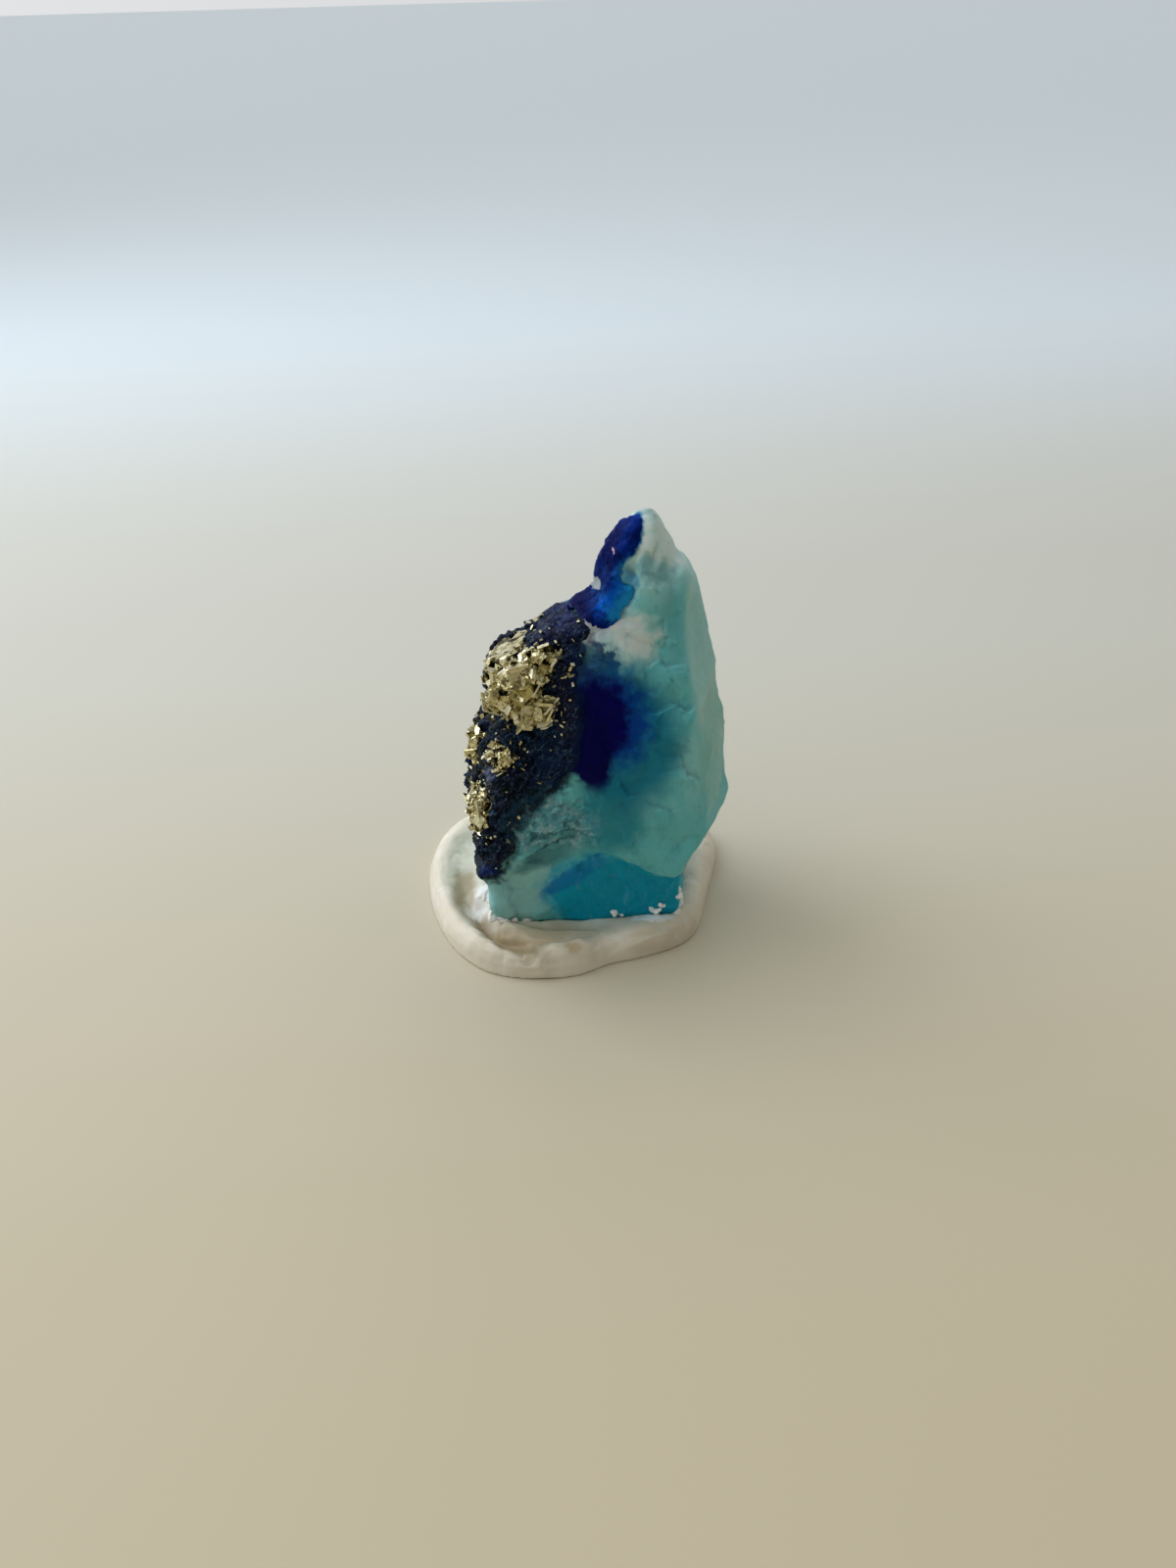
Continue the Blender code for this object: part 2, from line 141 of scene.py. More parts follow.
class Ground:
    """A material being painted: its node tree, places in mm, and the colour mixed so far."""

    def __init__(self, name: str, body: str) -> None:
        """Start a material of one colour.

        Args:
            name: The material's name.
            body: The colour, as an sRGB hex value.
        """
        self.material = bpy.data.materials.new(name)
        self.material.use_nodes = True
        self.tree = self.material.node_tree
        self.tree.nodes.clear()
        metres = self.add("TexCoord", output="Object")
        self.place = self.add("VectorMath", {0: metres, "Scale": 1 / MM}, operation="SCALE")
        self.colour = self.add("RGB")
        self.colour.default_value = linear(body)
        self.wandering: dict[Edge, Socket] = {}
        self.shares: dict["Layer", Socket] = {}

    def add(self, kind: str, inputs: dict | None = None, output: int | str = 0, **settings) -> Socket:
        """Add one node to the material, as add_node does."""
        return add_node(self.tree, kind, inputs, output, **settings)

    def wandered(self, edge: Edge) -> Socket:
        """Places pushed about by a soft pattern, so that what is drawn with them has an uneven border.

        Args:
            edge: How far they wander and how finely.

        Returns:
            The moved places.
        """
        if edge not in self.wandering:
            distance, grain = edge.value
            inputs = {"Vector": self.place, "Scale": 1 / grain, "Detail": 4.0}
            pattern = self.add("TexNoise", inputs, "Color")
            centred = self.add("VectorMath", {0: pattern, 1: (0.5, 0.5, 0.5)}, operation="SUBTRACT")
            moved = {0: centred, 1: (2 * distance,) * 3, 2: self.place}
            self.wandering[edge] = self.add("VectorMath", moved, operation="MULTIPLY_ADD")
        return self.wandering[edge]

    def pattern(self, grain: Point, detail: float, lean: float = 0.0) -> Socket:
        """Plain noise around 0.5, in leaning patches of a size in mm along x, y and z."""
        places = self.add("Mapping", leaning(self.place, grain, lean), vector_type="TEXTURE")
        return self.add("TexNoise", {"Vector": places, "Scale": 1.0, "Detail": detail, "Roughness": 0.6})

    def uneven(self, grain: float, patch: Span, values: Span) -> Socket:
        """A value that varies in cloudy patches, as the noise rises over the span of a patch."""
        clouds = self.pattern((grain,) * 3, CLOUD_DETAIL)
        return self.add("MapRange", rise(clouds, *patch, *values), interpolation_type=EASED)

    def share(self, layer: "Layer") -> Socket:
        """How much of a layer's colour lies at each place.

        Args:
            layer: The layer.

        Returns:
            A value from 0 to 1, made once and kept.
        """
        if layer not in self.shares:
            share = layer.share(self)
            if layer.within:
                share = self.add("Math", {0: self.share(layer.within), 1: share}, operation="MULTIPLY")
            self.shares[layer] = share
        return self.shares[layer]

    def lay(self, colour: str, share: Socket) -> None:
        """Mix a share of a colour over what is there."""
        inputs = {"Factor": share, MIX_A: self.colour, MIX_B: linear(colour)}
        self.colour = self.add("Mix", inputs, MIX_RESULT, data_type="RGBA")

    def paint(self, *layers: "Layer") -> None:
        """Lay some layers over what is there, in order."""
        for layer in layers:
            self.lay(layer.colour, self.share(layer))

    def relief(self, *layers: tuple[Point, float]) -> Socket:
        """A normal with layers of fine bumps.

        Args:
            layers: The size of a bump along x, y and z, and its height, all in mm.

        Returns:
            The normal.
        """
        normal = {}
        for grain, height in layers:
            bumps = {"Height": self.pattern(grain, FINE_DETAIL), "Distance": height * MM, "Strength": 1.0}
            normal = {"Normal": self.add("Bump", bumps | normal)}
        return normal["Normal"]

    def finish(self, **sockets) -> bpy.types.Material:
        """Close the material with one Principled shader.

        Args:
            sockets: Values or outputs for its inputs, with underscores for spaces.

        Returns:
            The finished material.
        """
        inputs = {name.replace("_", " "): value for name, value in sockets.items()}
        shader = self.add("BsdfPrincipled", inputs | {"Base Color": self.colour})
        self.add("OutputMaterial", {"Surface": shader})
        return self.material


@dataclass(frozen=True)
class Layer:
    """A colour to lay over others. Each kind says where it lies."""

    colour: str
    # A tinted place that the colour keeps to.
    within: "Tint | None" = field(default=None, kw_only=True)

    def share(self, ground: Ground) -> Socket:
        """How much of the colour lies at each place, from 0 to 1."""
        raise NotImplementedError


@dataclass(frozen=True)
class Tint(Layer):
    """A place inside the stone with a colour of its own: a leaning ellipsoid with a fading border."""

    # Middle and half widths in mm, and degrees about Y, clockwise as the viewer sees it.
    centre: Point
    reach: Point
    lean: float
    # The share of its reach that it fades over, how its border runs, and how much colour it gives.
    fade: float
    edge: Edge
    strength: float

    def share(self, ground: Ground) -> Socket:
        """From 0 outside to the tint's strength at its heart.

        Args:
            ground: The material that it lies in.

        Returns:
            The share.
        """
        places = leaning(ground.wandered(self.edge), self.reach, self.lean, self.centre)
        local = ground.add("Mapping", places, vector_type="TEXTURE")
        away = ground.add("VectorMath", {0: local}, "Value", operation="LENGTH")
        fading = rise(away, 1.0 - self.fade / 2, 1.0 + self.fade / 2, self.strength, 0.0)
        return ground.add("MapRange", fading, interpolation_type=EASED)


@dataclass(frozen=True)
class Cloud(Layer):
    """Cloudy patches."""

    # A patch's size in mm, the noise's values where it starts and is full, and its share of colour.
    grain: Point
    low: float
    high: float
    most: float
    lean: float = 0.0

    def share(self, ground: Ground) -> Socket:
        """From 0 between the patches to the most in them.

        Args:
            ground: The material that they lie in.

        Returns:
            The share.
        """
        clouds = ground.pattern(self.grain, CLOUD_DETAIL, self.lean)
        patches = rise(clouds, self.low, self.high, 0.0, self.most)
        return ground.add("MapRange", patches, interpolation_type=EASED)


@dataclass(frozen=True)
class Veins(Layer):
    """Thin wandering lines."""

    # The size of the bends in mm, the lines' width as a share of it, and their share of colour.
    grain: Point
    width: float
    most: float
    lean: float

    def share(self, ground: Ground) -> Socket:
        """From the most on a line to 0 away from it.

        Args:
            ground: The material that they run in.

        Returns:
            The share.
        """
        bends = ground.pattern(self.grain, FINE_DETAIL, self.lean)
        off_line = ground.add("Math", {0: bends, 1: 0.5}, operation="SUBTRACT")
        away = ground.add("Math", {0: off_line}, operation="ABSOLUTE")
        return ground.add("MapRange", rise(away, 0.0, self.width, self.most, 0.0))


@dataclass(frozen=True)
class Specks(Layer):
    """Small scattered dots."""

    # Between places where a dot may be, and a dot's radius, in mm. Then the share of places taken.
    spacing: float
    size: float
    taken: float

    def share(self, ground: Ground) -> Socket:
        """1 on a dot and 0 elsewhere, with a narrow border between.

        Args:
            ground: The material that they lie in.

        Returns:
            The share.
        """
        away = ground.add("TexVoronoi", {"Vector": ground.place, "Scale": 1 / self.spacing})
        radius = self.size / self.spacing
        dot = ground.add("MapRange", rise(away, radius * 1.3, radius * 0.7))
        chosen = ground.add("Math", {0: away.node.outputs["Color"], 1: self.taken}, operation="LESS_THAN")
        return ground.add("Math", {0: dot, 1: chosen}, operation="MULTIPLY")


@dataclass(frozen=True)
class Seep(Layer):
    """A neighbour's colour that creeps in from its border with an uneven edge."""

    # How far inside the neighbour a place is, where the colour starts and is full, and the size and
    # reach of its tongues, in mm.
    attribute: str
    start: float
    full: float
    grain: float
    wander: float

    def share(self, ground: Ground) -> Socket:
        """From 0 where the colour starts to 1 where it is full.

        Args:
            ground: The material that it creeps into.

        Returns:
            The share.
        """
        noise_inputs = {"Vector": ground.place, "Scale": 1 / self.grain, "Detail": 6.0, "Roughness": 0.65}
        tongues = ground.add("TexNoise", noise_inputs)
        inside = ground.add("Attribute", output="Fac", attribute_name=self.attribute)
        uneven = {0: tongues, 1: 2 * self.wander, 2: inside}
        reach = ground.add("Math", uneven, operation="MULTIPLY_ADD")
        creeping = rise(reach, self.start + self.wander, self.full + self.wander)
        return ground.add("MapRange", creeping, interpolation_type=EASED)


@dataclass(frozen=True)
class Mark(Layer):
    """A colour that a mesh attribute gives the share of."""

    # The attribute's name, and the share of colour that it gives at 1.
    attribute: str
    most: float = 1.0

    def share(self, ground: Ground) -> Socket:
        """The attribute times the most."""
        kept = ground.add("Attribute", output="Fac", attribute_name=self.attribute)
        return ground.add("MapRange", rise(kept, 0.0, 1.0, 0.0, self.most))


def in_scene(name: str, data: bpy.types.ID) -> Piece:
    """Make an object of a mesh, a lamp or a camera.

    Args:
        name: Its name.
        data: What it holds.

    Returns:
        The object, in the scene.
    """
    made = bpy.data.objects.new(name, data)
    bpy.context.scene.collection.objects.link(made)
    return made


def from_work(name: str, work: bmesh.types.BMesh) -> Piece:
    """Turn a mesh in the making into an object.

    Args:
        name: The object's name.
        work: The mesh in the making, which is freed.

    Returns:
        The object, in the scene.
    """
    mesh = bpy.data.meshes.new(name)
    work.to_mesh(mesh)
    work.free()
    return in_scene(name, mesh)


def copy_of_nodes(name: str, *nodes: str) -> Piece:
    """Make an object that holds copies of some CAD nodes' meshes, with their corners joined.

    Args:
        name: The new object's name.
        nodes: The nodes to copy.

    Returns:
        The object, in the scene.
    """
    work = bmesh.new()
    for node in nodes:
        work.from_mesh(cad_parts[node].data)
    bmesh.ops.remove_doubles(work, verts=work.verts, dist=0.001 * MM)
    return from_work(name, work)


def settle(piece: Piece) -> None:
    """Apply an object's modifiers to its mesh.

    Args:
        piece: The object.
    """
    depsgraph = bpy.context.evaluated_depsgraph_get()
    baked = bpy.data.meshes.new_from_object(piece.evaluated_get(depsgraph), depsgraph=depsgraph)
    rough = piece.data
    piece.modifiers.clear()
    piece.data = baked
    bpy.data.meshes.remove(rough)


def regrow(piece: Piece, grain: float, softening: int) -> None:
    """Grow an object's overlapping chunks into one skin of even faces, and soften it.

    Args:
        piece: The object.
        grain: The size of a face, in mm.
        softening: How many rounds of smoothing follow.
    """
    skin = piece.modifiers.new("skin", "REMESH")
    skin.mode = "VOXEL"
    skin.voxel_size = grain * MM
    soft = piece.modifiers.new("soft", "SMOOTH")
    soft.factor = 0.5
    soft.iterations = softening
    settle(piece)


def rows_of(piece: Piece, what: str) -> Rows:
    """One vector of each of an object's points, as rows.

    Args:
        piece: The object.
        what: The vector's name in the mesh.

    Returns:
        The rows.
    """
    flat = np.empty(len(piece.data.vertices) * 3)
    piece.data.vertices.foreach_get(what, flat)
    return flat.reshape(-1, 3)


def places_of(piece: Piece) -> Rows:
    """An object's points as rows of x, y and z, in mm."""
    return rows_of(piece, "co") / MM


def move_to(piece: Piece, places: Rows) -> None:
    """Move an object's points to new places, in mm."""
    piece.data.vertices.foreach_set("co", (places * MM).ravel())
    piece.data.update()


def raise_by(piece: Piece, heights: Values | float) -> None:
    """Move an object's points along their normals by heights in mm."""
    lift = np.broadcast_to(heights, len(piece.data.vertices))
    move_to(piece, places_of(piece) + rows_of(piece, "normal") * lift[:, None])


def smooth_step(values: Values, low: float, high: float) -> Values:
    """0 below low, 1 above high and a smooth rise between them."""
    share = np.clip((values - low) / (high - low), 0, 1)
    return share * share * (3 - 2 * share)


@dataclass(frozen=True)
class Lumps:
    """Soft noise on a skin."""

    # A lump's size and how far it stands out, in mm. Another seed gives another pattern.
    size: float | Point
    height: float
    seed: int

    def heights(self, places: Rows) -> Values:
        """How far each place stands out, from about minus the height to the height."""
        scaled = places / np.array(self.size) + self.seed * SEED_STEP
        return np.array([noise.noise(Vector(row)) for row in scaled]) * self.height


@dataclass(frozen=True)
class Ridges(Lumps):
    """Noise with sharp crests."""

    # Degrees about the Y axis, and how much of a ridge, from 0 to 1, lies under the skin.
    lean: float = 0.0
    level: float = 0.0

    def heights(self, places: Rows) -> Values:
        """How far each place stands out, in mm.

        Args:
            places: Points on the skin.

        Returns:
            The heights.
        """
        angle = math.radians(self.lean)
        x, y, z = places.T
        turned = (x * math.cos(angle) - z * math.sin(angle), y, x * math.sin(angle) + z * math.cos(angle))
        soft = Lumps(self.size, 1.0, self.seed).heights(np.stack(turned, axis=1))
        return (1 - np.abs(soft) * 2 - self.level) * self.height


@dataclass(frozen=True)
class Facets:
    """Small leaning planes that a skin breaks into, as cleavage does."""

    # Between the planes' middles in mm, their slope, and how far they stand apart in height, in mm.
    spacing: float
    slope: float
    step: float
    seed: int
    # How far their borders wander, as a share of the spacing.
    wander: float = 0.25

    def heights(self, places: Rows) -> Values:
        """How far each place stands out, in mm.

        Args:
            places: Points on the skin.

        Returns:
            The heights.
        """
        chance = np.random.default_rng(self.seed)
        box = places.max(0) - places.min(0)
        area = 2 * (box[0] * box[1] + box[1] * box[2] + box[2] * box[0])
        count = max(8, int(area / self.spacing**2))
        middles = places[chance.choice(len(places), min(count, len(places)), replace=False)]
        slopes = chance.normal(0, self.slope, middles.shape)
        steps = chance.uniform(-self.step, self.step, len(middles))
        tree = KDTree(len(middles))
        for number, middle in enumerate(middles):
            tree.insert(middle, number)
        tree.balance()
        pushes = [Lumps(self.spacing * 0.7, 1.0, self.seed + axis).heights(places) for axis in range(3)]
        pushed = places + np.stack(pushes, axis=1) * self.spacing * self.wander
        nearest = np.array([tree.find(place)[1] for place in pushed])
        return ((places - middles[nearest]) * slopes[nearest]).sum(1) + steps[nearest]


def stacked(layers: Iterable[Lumps | Facets], places: Rows) -> Values:
    """How far each place stands out with some layers of relief on it, in mm."""
    return sum(layer.heights(places) for layer in layers)


@dataclass(frozen=True)
class Break:
    """A flat break of the stone: between two heights nothing stands beyond its plane."""

    # A point on the plane and the way it faces, and the heights that it cuts between, in mm.
    place: Point
    outward: Point
    low: float
    high: float
    fade: float = 0.5

    def facing(self) -> np.ndarray:
        """The plane's outward direction, one long."""
        return np.array(self.outward) / np.linalg.norm(self.outward)

    def beyond(self, places: Rows) -> Values:
        """How far each place stands beyond the plane, in mm.

        Args:
            places: The places.

        Returns:
            The distances, 0 on the plane's inner side.
        """
        heights = places[:, 2]
        below = smooth_step(-heights, -self.high - self.fade, -self.high + self.fade)
        share = smooth_step(heights, self.low - self.fade, self.low + self.fade) * below
        return np.maximum((places - self.place) @ self.facing(), 0) * share

    def pressed(self, places: Rows) -> Rows:
        """Places with those beyond the plane pressed back onto it."""
        return places - self.facing() * self.beyond(places)[:, None]


# The straight upper left edge of the crest, and the lower left edge of the crust.
BREAKS = (
    Break((2.15, 0.0, 34.4), (-0.894, 0.0, 0.447), 34.8, 42.0),
    Break((-9.75, 0.0, 12.1), (-0.953, 0.0, -0.302), 7.5, 15.0),
)
# The slope at the upper left that the upper pyrite cluster's crystals end at, and their right border.
CLUSTER_LIMITS = (
    Break((-2.3, 0.0, 30.5), (-0.47, 0.0, 0.882), 20.0, 40.0),
    Break((-6.44, 0.0, 28.8), (-0.933, 0.0, 0.36), 20.0, 40.0),
    Break((-0.6, 0.0, 26.0), (0.96, 0.0, -0.28), 10.0, 28.5),
)


@dataclass(frozen=True)
class Side:
    """How far the stone's outline is moved out on one side, so that it runs as it is seen to."""

    # 1 for the right side and -1 for the left.
    way: int
    # How far from the middle the move starts and is full, and pairs of a height and a move, in mm.
    reach: Span
    moves: Line

    def move(self, places: Rows) -> Values:
        """How far each place moves to the right, in mm."""
        outward = np.interp(places[:, 2], *zip(*self.moves))
        return self.way * outward * smooth_step(self.way * places[:, 0], *self.reach)


SIDES = (
    Side(1, (6.0, 10.5), (
        (8.0, 0.0), (9.0, -0.7), (10.4, -0.7), (11.3, -0.1), (12.8, 0.75), (13.9, 0.4), (15.8, 0.6),
        (17.6, 0.45), (19.5, 0.1), (21.4, -0.15), (22.6, -0.55), (23.6, -0.5), (25.1, -0.05),
        (26.1, 0.27), (27.8, 0.2), (29.5, -0.05), (31.1, -0.5), (32.7, -0.35), (34.5, -0.3),
        (35.6, -0.35), (36.4, -0.5), (37.6, -0.3),
    )),
    Side(-1, (3.5, 7.0), (
        (2.0, 0.6), (7.5, 0.6), (8.3, -0.1), (9.0, -0.8), (10.9, -0.8), (12.2, -1.05), (13.2, -0.7),
        (14.2, -0.45), (15.3, -0.6), (17.2, -0.75), (19.0, -0.4), (20.4, -0.3), (21.4, -0.7),
        (22.5, -1.15), (24.6, -1.1), (25.6, -0.4), (26.5, 0.0),
    )),
)


def true_edges(piece: Piece) -> None:
    """Move an object's points at the stone's left and right edges to the outline seen.

    Args:
        piece: The object.
    """
    places = places_of(piece)
    places[:, 0] += sum(side.move(places) for side in SIDES)
    move_to(piece, places)


def pressed_flat(piece: Piece, breaks: Iterable[Break] = BREAKS) -> None:
    """Press an object's points back to flat breaks.

    Args:
        piece: The object.
        breaks: The breaks, which are those of the stone if no others are given.
    """
    places = places_of(piece)
    for flat in breaks:
        places = flat.pressed(places)
    move_to(piece, places)


@dataclass(frozen=True)
class Bay:
    """A place where a mineral's border draws back."""

    # Its middle, its radius and how far the border draws back, in mm.
    middle: Point
    radius: float
    depth: float
    # The share of its radius where it is deepest.
    heart: float = 0.35

    def back(self, places: Rows) -> Values:
        """How far the border draws back at each place, in mm."""
        away = np.linalg.norm(places - self.middle, axis=1)
        return self.depth * (1 - smooth_step(away, self.heart * self.radius, self.radius))


def search_tree(*nodes: str | Piece) -> BVHTree:
    """A tree that finds the nearest point on some CAD nodes or other objects.

    Args:
        nodes: The nodes' names, or the objects.

    Returns:
        The tree.
    """
    work = bmesh.new()
    for node in nodes:
        work.from_mesh((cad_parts[node] if isinstance(node, str) else node).data)
    tree = BVHTree.FromBMesh(work)
    work.free()
    return tree


def distance_to(tree: BVHTree, places: Rows) -> Values:
    """The distance from each place to the nearest surface of a tree, in mm."""
    return np.array([tree.find_nearest(Vector(place * MM))[3] for place in places]) / MM


def remember(piece: Piece, name: str, values: Values) -> None:
    """Keep one value a point on an object's mesh, for its material to read."""
    kept = piece.data.attributes.new(name, "FLOAT", "POINT")
    kept.data.foreach_set("value", values.astype(np.float32))


def hand_over(piece: Piece, slot: str, material: bpy.types.Material, *nodes: str) -> None:
    """Dress a piece, hang it on its body, and hide the CAD nodes that it stands for.

    Args:
        piece: The finished piece.
        slot: A material slot's name, which is not used.
        material: Its material.
        nodes: The CAD nodes that it replaces.
    """
    piece.data.materials.clear()
    piece.data.materials.append(material)
    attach(piece, BODY)
    if nodes:
        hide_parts(*nodes)
    piece.data.calc_loop_triangles()
    LOG.info("%s: %d triangles", piece.name, len(piece.data.loop_triangles))


# The calcite's rough pale lump, and two places on the crust: beside the core, and its left side.
LUMP = Tint("#6fb0ba", (-2.1, -9.0, 13.8), (4.4, 3.0, 3.0), 8, 0.5, Edge.RAGGED, 0.95)
BESIDE_CORE = Tint("#03204c", (1.2, -8.0, 23.4), (2.4, 4.0, 6.6), -4, 0.6, Edge.RAGGED, 1.0)
LEFT_SIDE = Tint("#4c4630", (-8.6, -4.0, 18.0), (2.2, 6.0, 9.0), 12, 0.8, Edge.RAGGED, 1.0)
# The turquoise fringe of the crest, where it thins out.
FRINGE = Tint("#2a98c8", (5.0, -5.0, 34.6), (2.2, 2.6, 2.4), 20, 0.5, Edge.RAGGED, 1.0)


@dataclass(frozen=True)
class FrostedCalcite:
    """Calcite: natural carbonate crystal, broken and left rough.

    The break scatters light like ground glass, so it has a soft shine and no clear view inside. Light
    goes in a millimetre or two and comes out tinted: pale where the stone is milky or thin, sea green
    where it is thick, teal and deep blue where it holds afghanite.
    """

    body: str = "#84d4d4"
    index: float = 1.6
    gloss: float = 0.08
    roughness: Span = (0.36, 0.55)
    clearness: float = 0.28
    glow: Point = (0.5, 0.95, 1.1)
    glow_depth: float = 0.9
    # Milk and deep sea green in wide clouds, and then the colour of each part of the stone, with painted
    # light on its right side face and painted shade under the pale lump.
    parts: tuple[Layer, ...] = (
        Cloud("#c6e8e4", (3.0, 3.0, 7.0), 0.48, 0.75, 0.45),
        Cloud("#58b2bc", (2.4, 2.4, 3.4), 0.5, 0.7, 0.5),
        Tint("#2f8a98", (-1.0, 6.0, 15.0), (7.0, 5.0, 8.0), 20, 0.9, Edge.RAGGED, 0.8),
        Tint("#cfe3da", (7.5, 4.5, 27.0), (5.0, 5.0, 7.0), 15, 0.8, Edge.RAGGED, 0.7),
        Tint("#0f6f9c", (-1.0, 4.5, 26.5), (3.2, 3.0, 4.2), 20, 0.8, Edge.RAGGED, 0.8),
        Tint("#1f8a9a", (8.0, 6.0, 8.0), (4.5, 5.0, 5.0), 0, 0.8, Edge.RAGGED, 0.6),
        Tint("#e6f6ee", (7.6, -2.6, 38.6), (3.6, 4.4, 4.6), 0, 1.1, Edge.SOFT, 0.95),
        Tint("#58aab2", (7.4, -3.6, 36.0), (1.8, 2.4, 1.3), 30, 0.8, Edge.RAGGED, 0.6),
        Tint("#8fa8a2", (7.0, -1.2, 40.9), (1.8, 2.4, 0.9), 10, 0.8, Edge.CRISP, 0.75),
        # Painted light: the right side face, which catches the light from behind, is painted paler.
        Tint("#c2e8e0", (14.4, -4.0, 29.5), (4.2, 9.0, 11.5), -2, 0.22, Edge.CRISP, 0.6),
        Tint("#7cc4ca", (9.2, -5.4, 31.2), (1.0, 2.6, 5.0), -6, 1.0, Edge.SOFT, 0.5),
        Tint("#a3d0c2", (12.8, -4.0, 19.0), (2.0, 5.0, 7.4), 6, 0.8, Edge.SOFT, 0.6),
        Tint("#2298a8", (3.4, -9.0, 14.6), (3.4, 3.0, 3.6), 0, 0.9, Edge.SOFT, 0.85),
        Tint("#b0dfdb", (-5.4, -8.0, 6.4), (4.2, 5.0, 4.0), 0, 0.6, Edge.SOFT, 0.85),
        Tint("#10a4bc", (6.0, -2.0, 3.2), (7.4, 6.0, 4.4), 0, 0.9, Edge.SOFT, 1.0),
        Tint("#04b8d6", (4.6, -6.4, 5.6), (9.0, 2.8, 6.4), 0, 0.3, Edge.CRISP, 1.0),
        # Painted shade: a darker band under the pale lump's overhang.
        Tint("#4a858c", (-2.6, -8.3, 9.9), (3.6, 2.4, 1.2), -20, 0.9, Edge.SOFT, 0.7),
        Tint("#008ccc", (0.0, -8.2, 7.4), (3.7, 2.4, 0.9), -38, 0.5, Edge.CRISP, 0.85),
        Tint("#2f9cc4", (5.6, -4.8, 35.0), (0.7, 1.6, 1.1), 20, 0.9, Edge.RAGGED, 0.7),
        Tint("#000c50", (2.2, -5.7, 32.4), (1.1, 2.2, 0.7), 20, 0.5, Edge.CRISP, 1.0),
        Tint("#009cba", (4.6, -8.0, 5.8), (5.0, 2.4, 4.0), 20, 0.8, Edge.RAGGED, 0.4),
    )
    # The lump's frost and cracks in dark and pale clouds, which are partly painted shade and light of its
    # rough relief, and painted shade in the creases along its lower edge.
    lump: tuple[Layer, ...] = (
        LUMP,
        Cloud("#1a4c56", (0.8, 0.8, 1.5), 0.54, 0.68, 0.6, 50, within=LUMP),
        Cloud("#c2dcdc", (1.0, 1.0, 1.3), 0.5, 0.62, 0.55, 50, within=LUMP),
        Cloud("#1a4c56", (0.22, 0.22, 0.6), 0.57, 0.66, 0.5, 50, within=LUMP),
        Cloud("#c2dcdc", (0.36, 0.36, 0.6), 0.55, 0.66, 0.7, 50, within=LUMP),
        # Painted shade in the creases along the lump's lower edge.
        Tint("#275f6a", (-2.2, -9.0, 12.9), (1.9, 2.0, 0.2), -16, 0.9, Edge.CRISP, 0.7),
        Tint("#275f6a", (-2.2, -8.6, 11.4), (2.1, 2.0, 0.22), -26, 0.9, Edge.CRISP, 0.7),
        Tint("#2c6874", (0.6, -8.9, 13.0), (1.6, 2.0, 0.16), 8, 0.9, Edge.CRISP, 0.6),
    )
    # Fine streaks, the neighbours' colours along their borders, and two white clouds.
    borders: tuple[Layer, ...] = (
        Cloud("#c6e8e4", (0.5, 0.5, 1.9), 0.56, 0.8, 0.15),
        Cloud("#58b2bc", (0.3, 0.3, 0.9), 0.54, 0.78, 0.4),
        Seep("#158bb4", "in_crest", -0.6, 0.0, 0.5, 0.4),
        Seep("#0350b0", "in_crest", -0.3, 0.2, 0.4, 0.3),
        Seep("#1a4458", "in_crust", -1.4, -0.1, 0.9, 1.2),
        Seep("#0a1428", "in_crust", -0.5, 0.2, 0.45, 0.8),
        Tint("#e6f4f2", (5.6, -5.8, 31.0), (2.5, 3.0, 2.1), 35, 0.8, Edge.RAGGED, 1.0),
        Tint("#d3e2e8", (2.5, -5.2, 31.4), (1.3, 2.6, 1.3), 0, 0.6, Edge.RAGGED, 1.0),
    )
    # The blue core, from its teal halo to its dark heart.
    halo: tuple[Tint, ...] = (
        Tint("#1b5c86", (2.2, -6.8, 28.2), (2.0, 3.0, 2.2), 10, 0.9, Edge.RAGGED, 0.8),
        Tint("#0f4a78", (3.5, -6.6, 29.3), (0.55, 3.0, 2.0), -30, 0.7, Edge.RAGGED, 0.8),
        Tint("#008ca6", (5.2, -8.0, 22.0), (4.5, 4.6, 6.6), 0, 0.6, Edge.SOFT, 0.95),
    )
    heart: tuple[Tint, ...] = (
        Tint("#00489a", (3.8, -8.0, 24.1), (3.4, 4.2, 4.6), -10, 0.7, Edge.RAGGED, 0.95),
        Tint("#000066", (2.9, -7.9, 24.2), (2.5, 4.0, 3.9), -6, 0.5, Edge.RAGGED, 1.0),
        Tint("#00005a", (1.5, -8.0, 22.2), (2.0, 4.0, 5.0), -14, 0.35, Edge.CRISP, 1.0),
    )
    specks: Specks = Specks("#12303a", 2.6, 0.13, 0.12)

    def material(self) -> bpy.types.Material:
        """Make the material, with no clear view into the core's heart.

        Returns:
            The material.
        """
        ground = Ground("frosted_calcite", self.body)
        ground.paint(*self.parts, *self.lump, *self.borders, *self.halo, *self.heart, self.specks)
        dark = ground.share(self.heart[0])
        for tint in self.heart[1:]:
            dark = ground.add("Math", {0: dark, 1: ground.share(tint)}, operation="MAXIMUM")
        return ground.finish(
            Transmission_Weight=ground.add("MapRange", rise(dark, 0.0, 1.0, self.clearness, 0.0)),
            Roughness=ground.uneven(1.1, (0.35, 0.7), self.roughness),
            IOR=self.index,
            Specular_IOR_Level=self.gloss,
            Subsurface_Weight=1.0,
            Subsurface_Radius=self.glow,
            Subsurface_Scale=self.glow_depth * MM,
            Normal=ground.relief(((0.25, 0.25, 1.8), 0.03), ((0.14, 0.14, 0.14), 0.02)),
        )


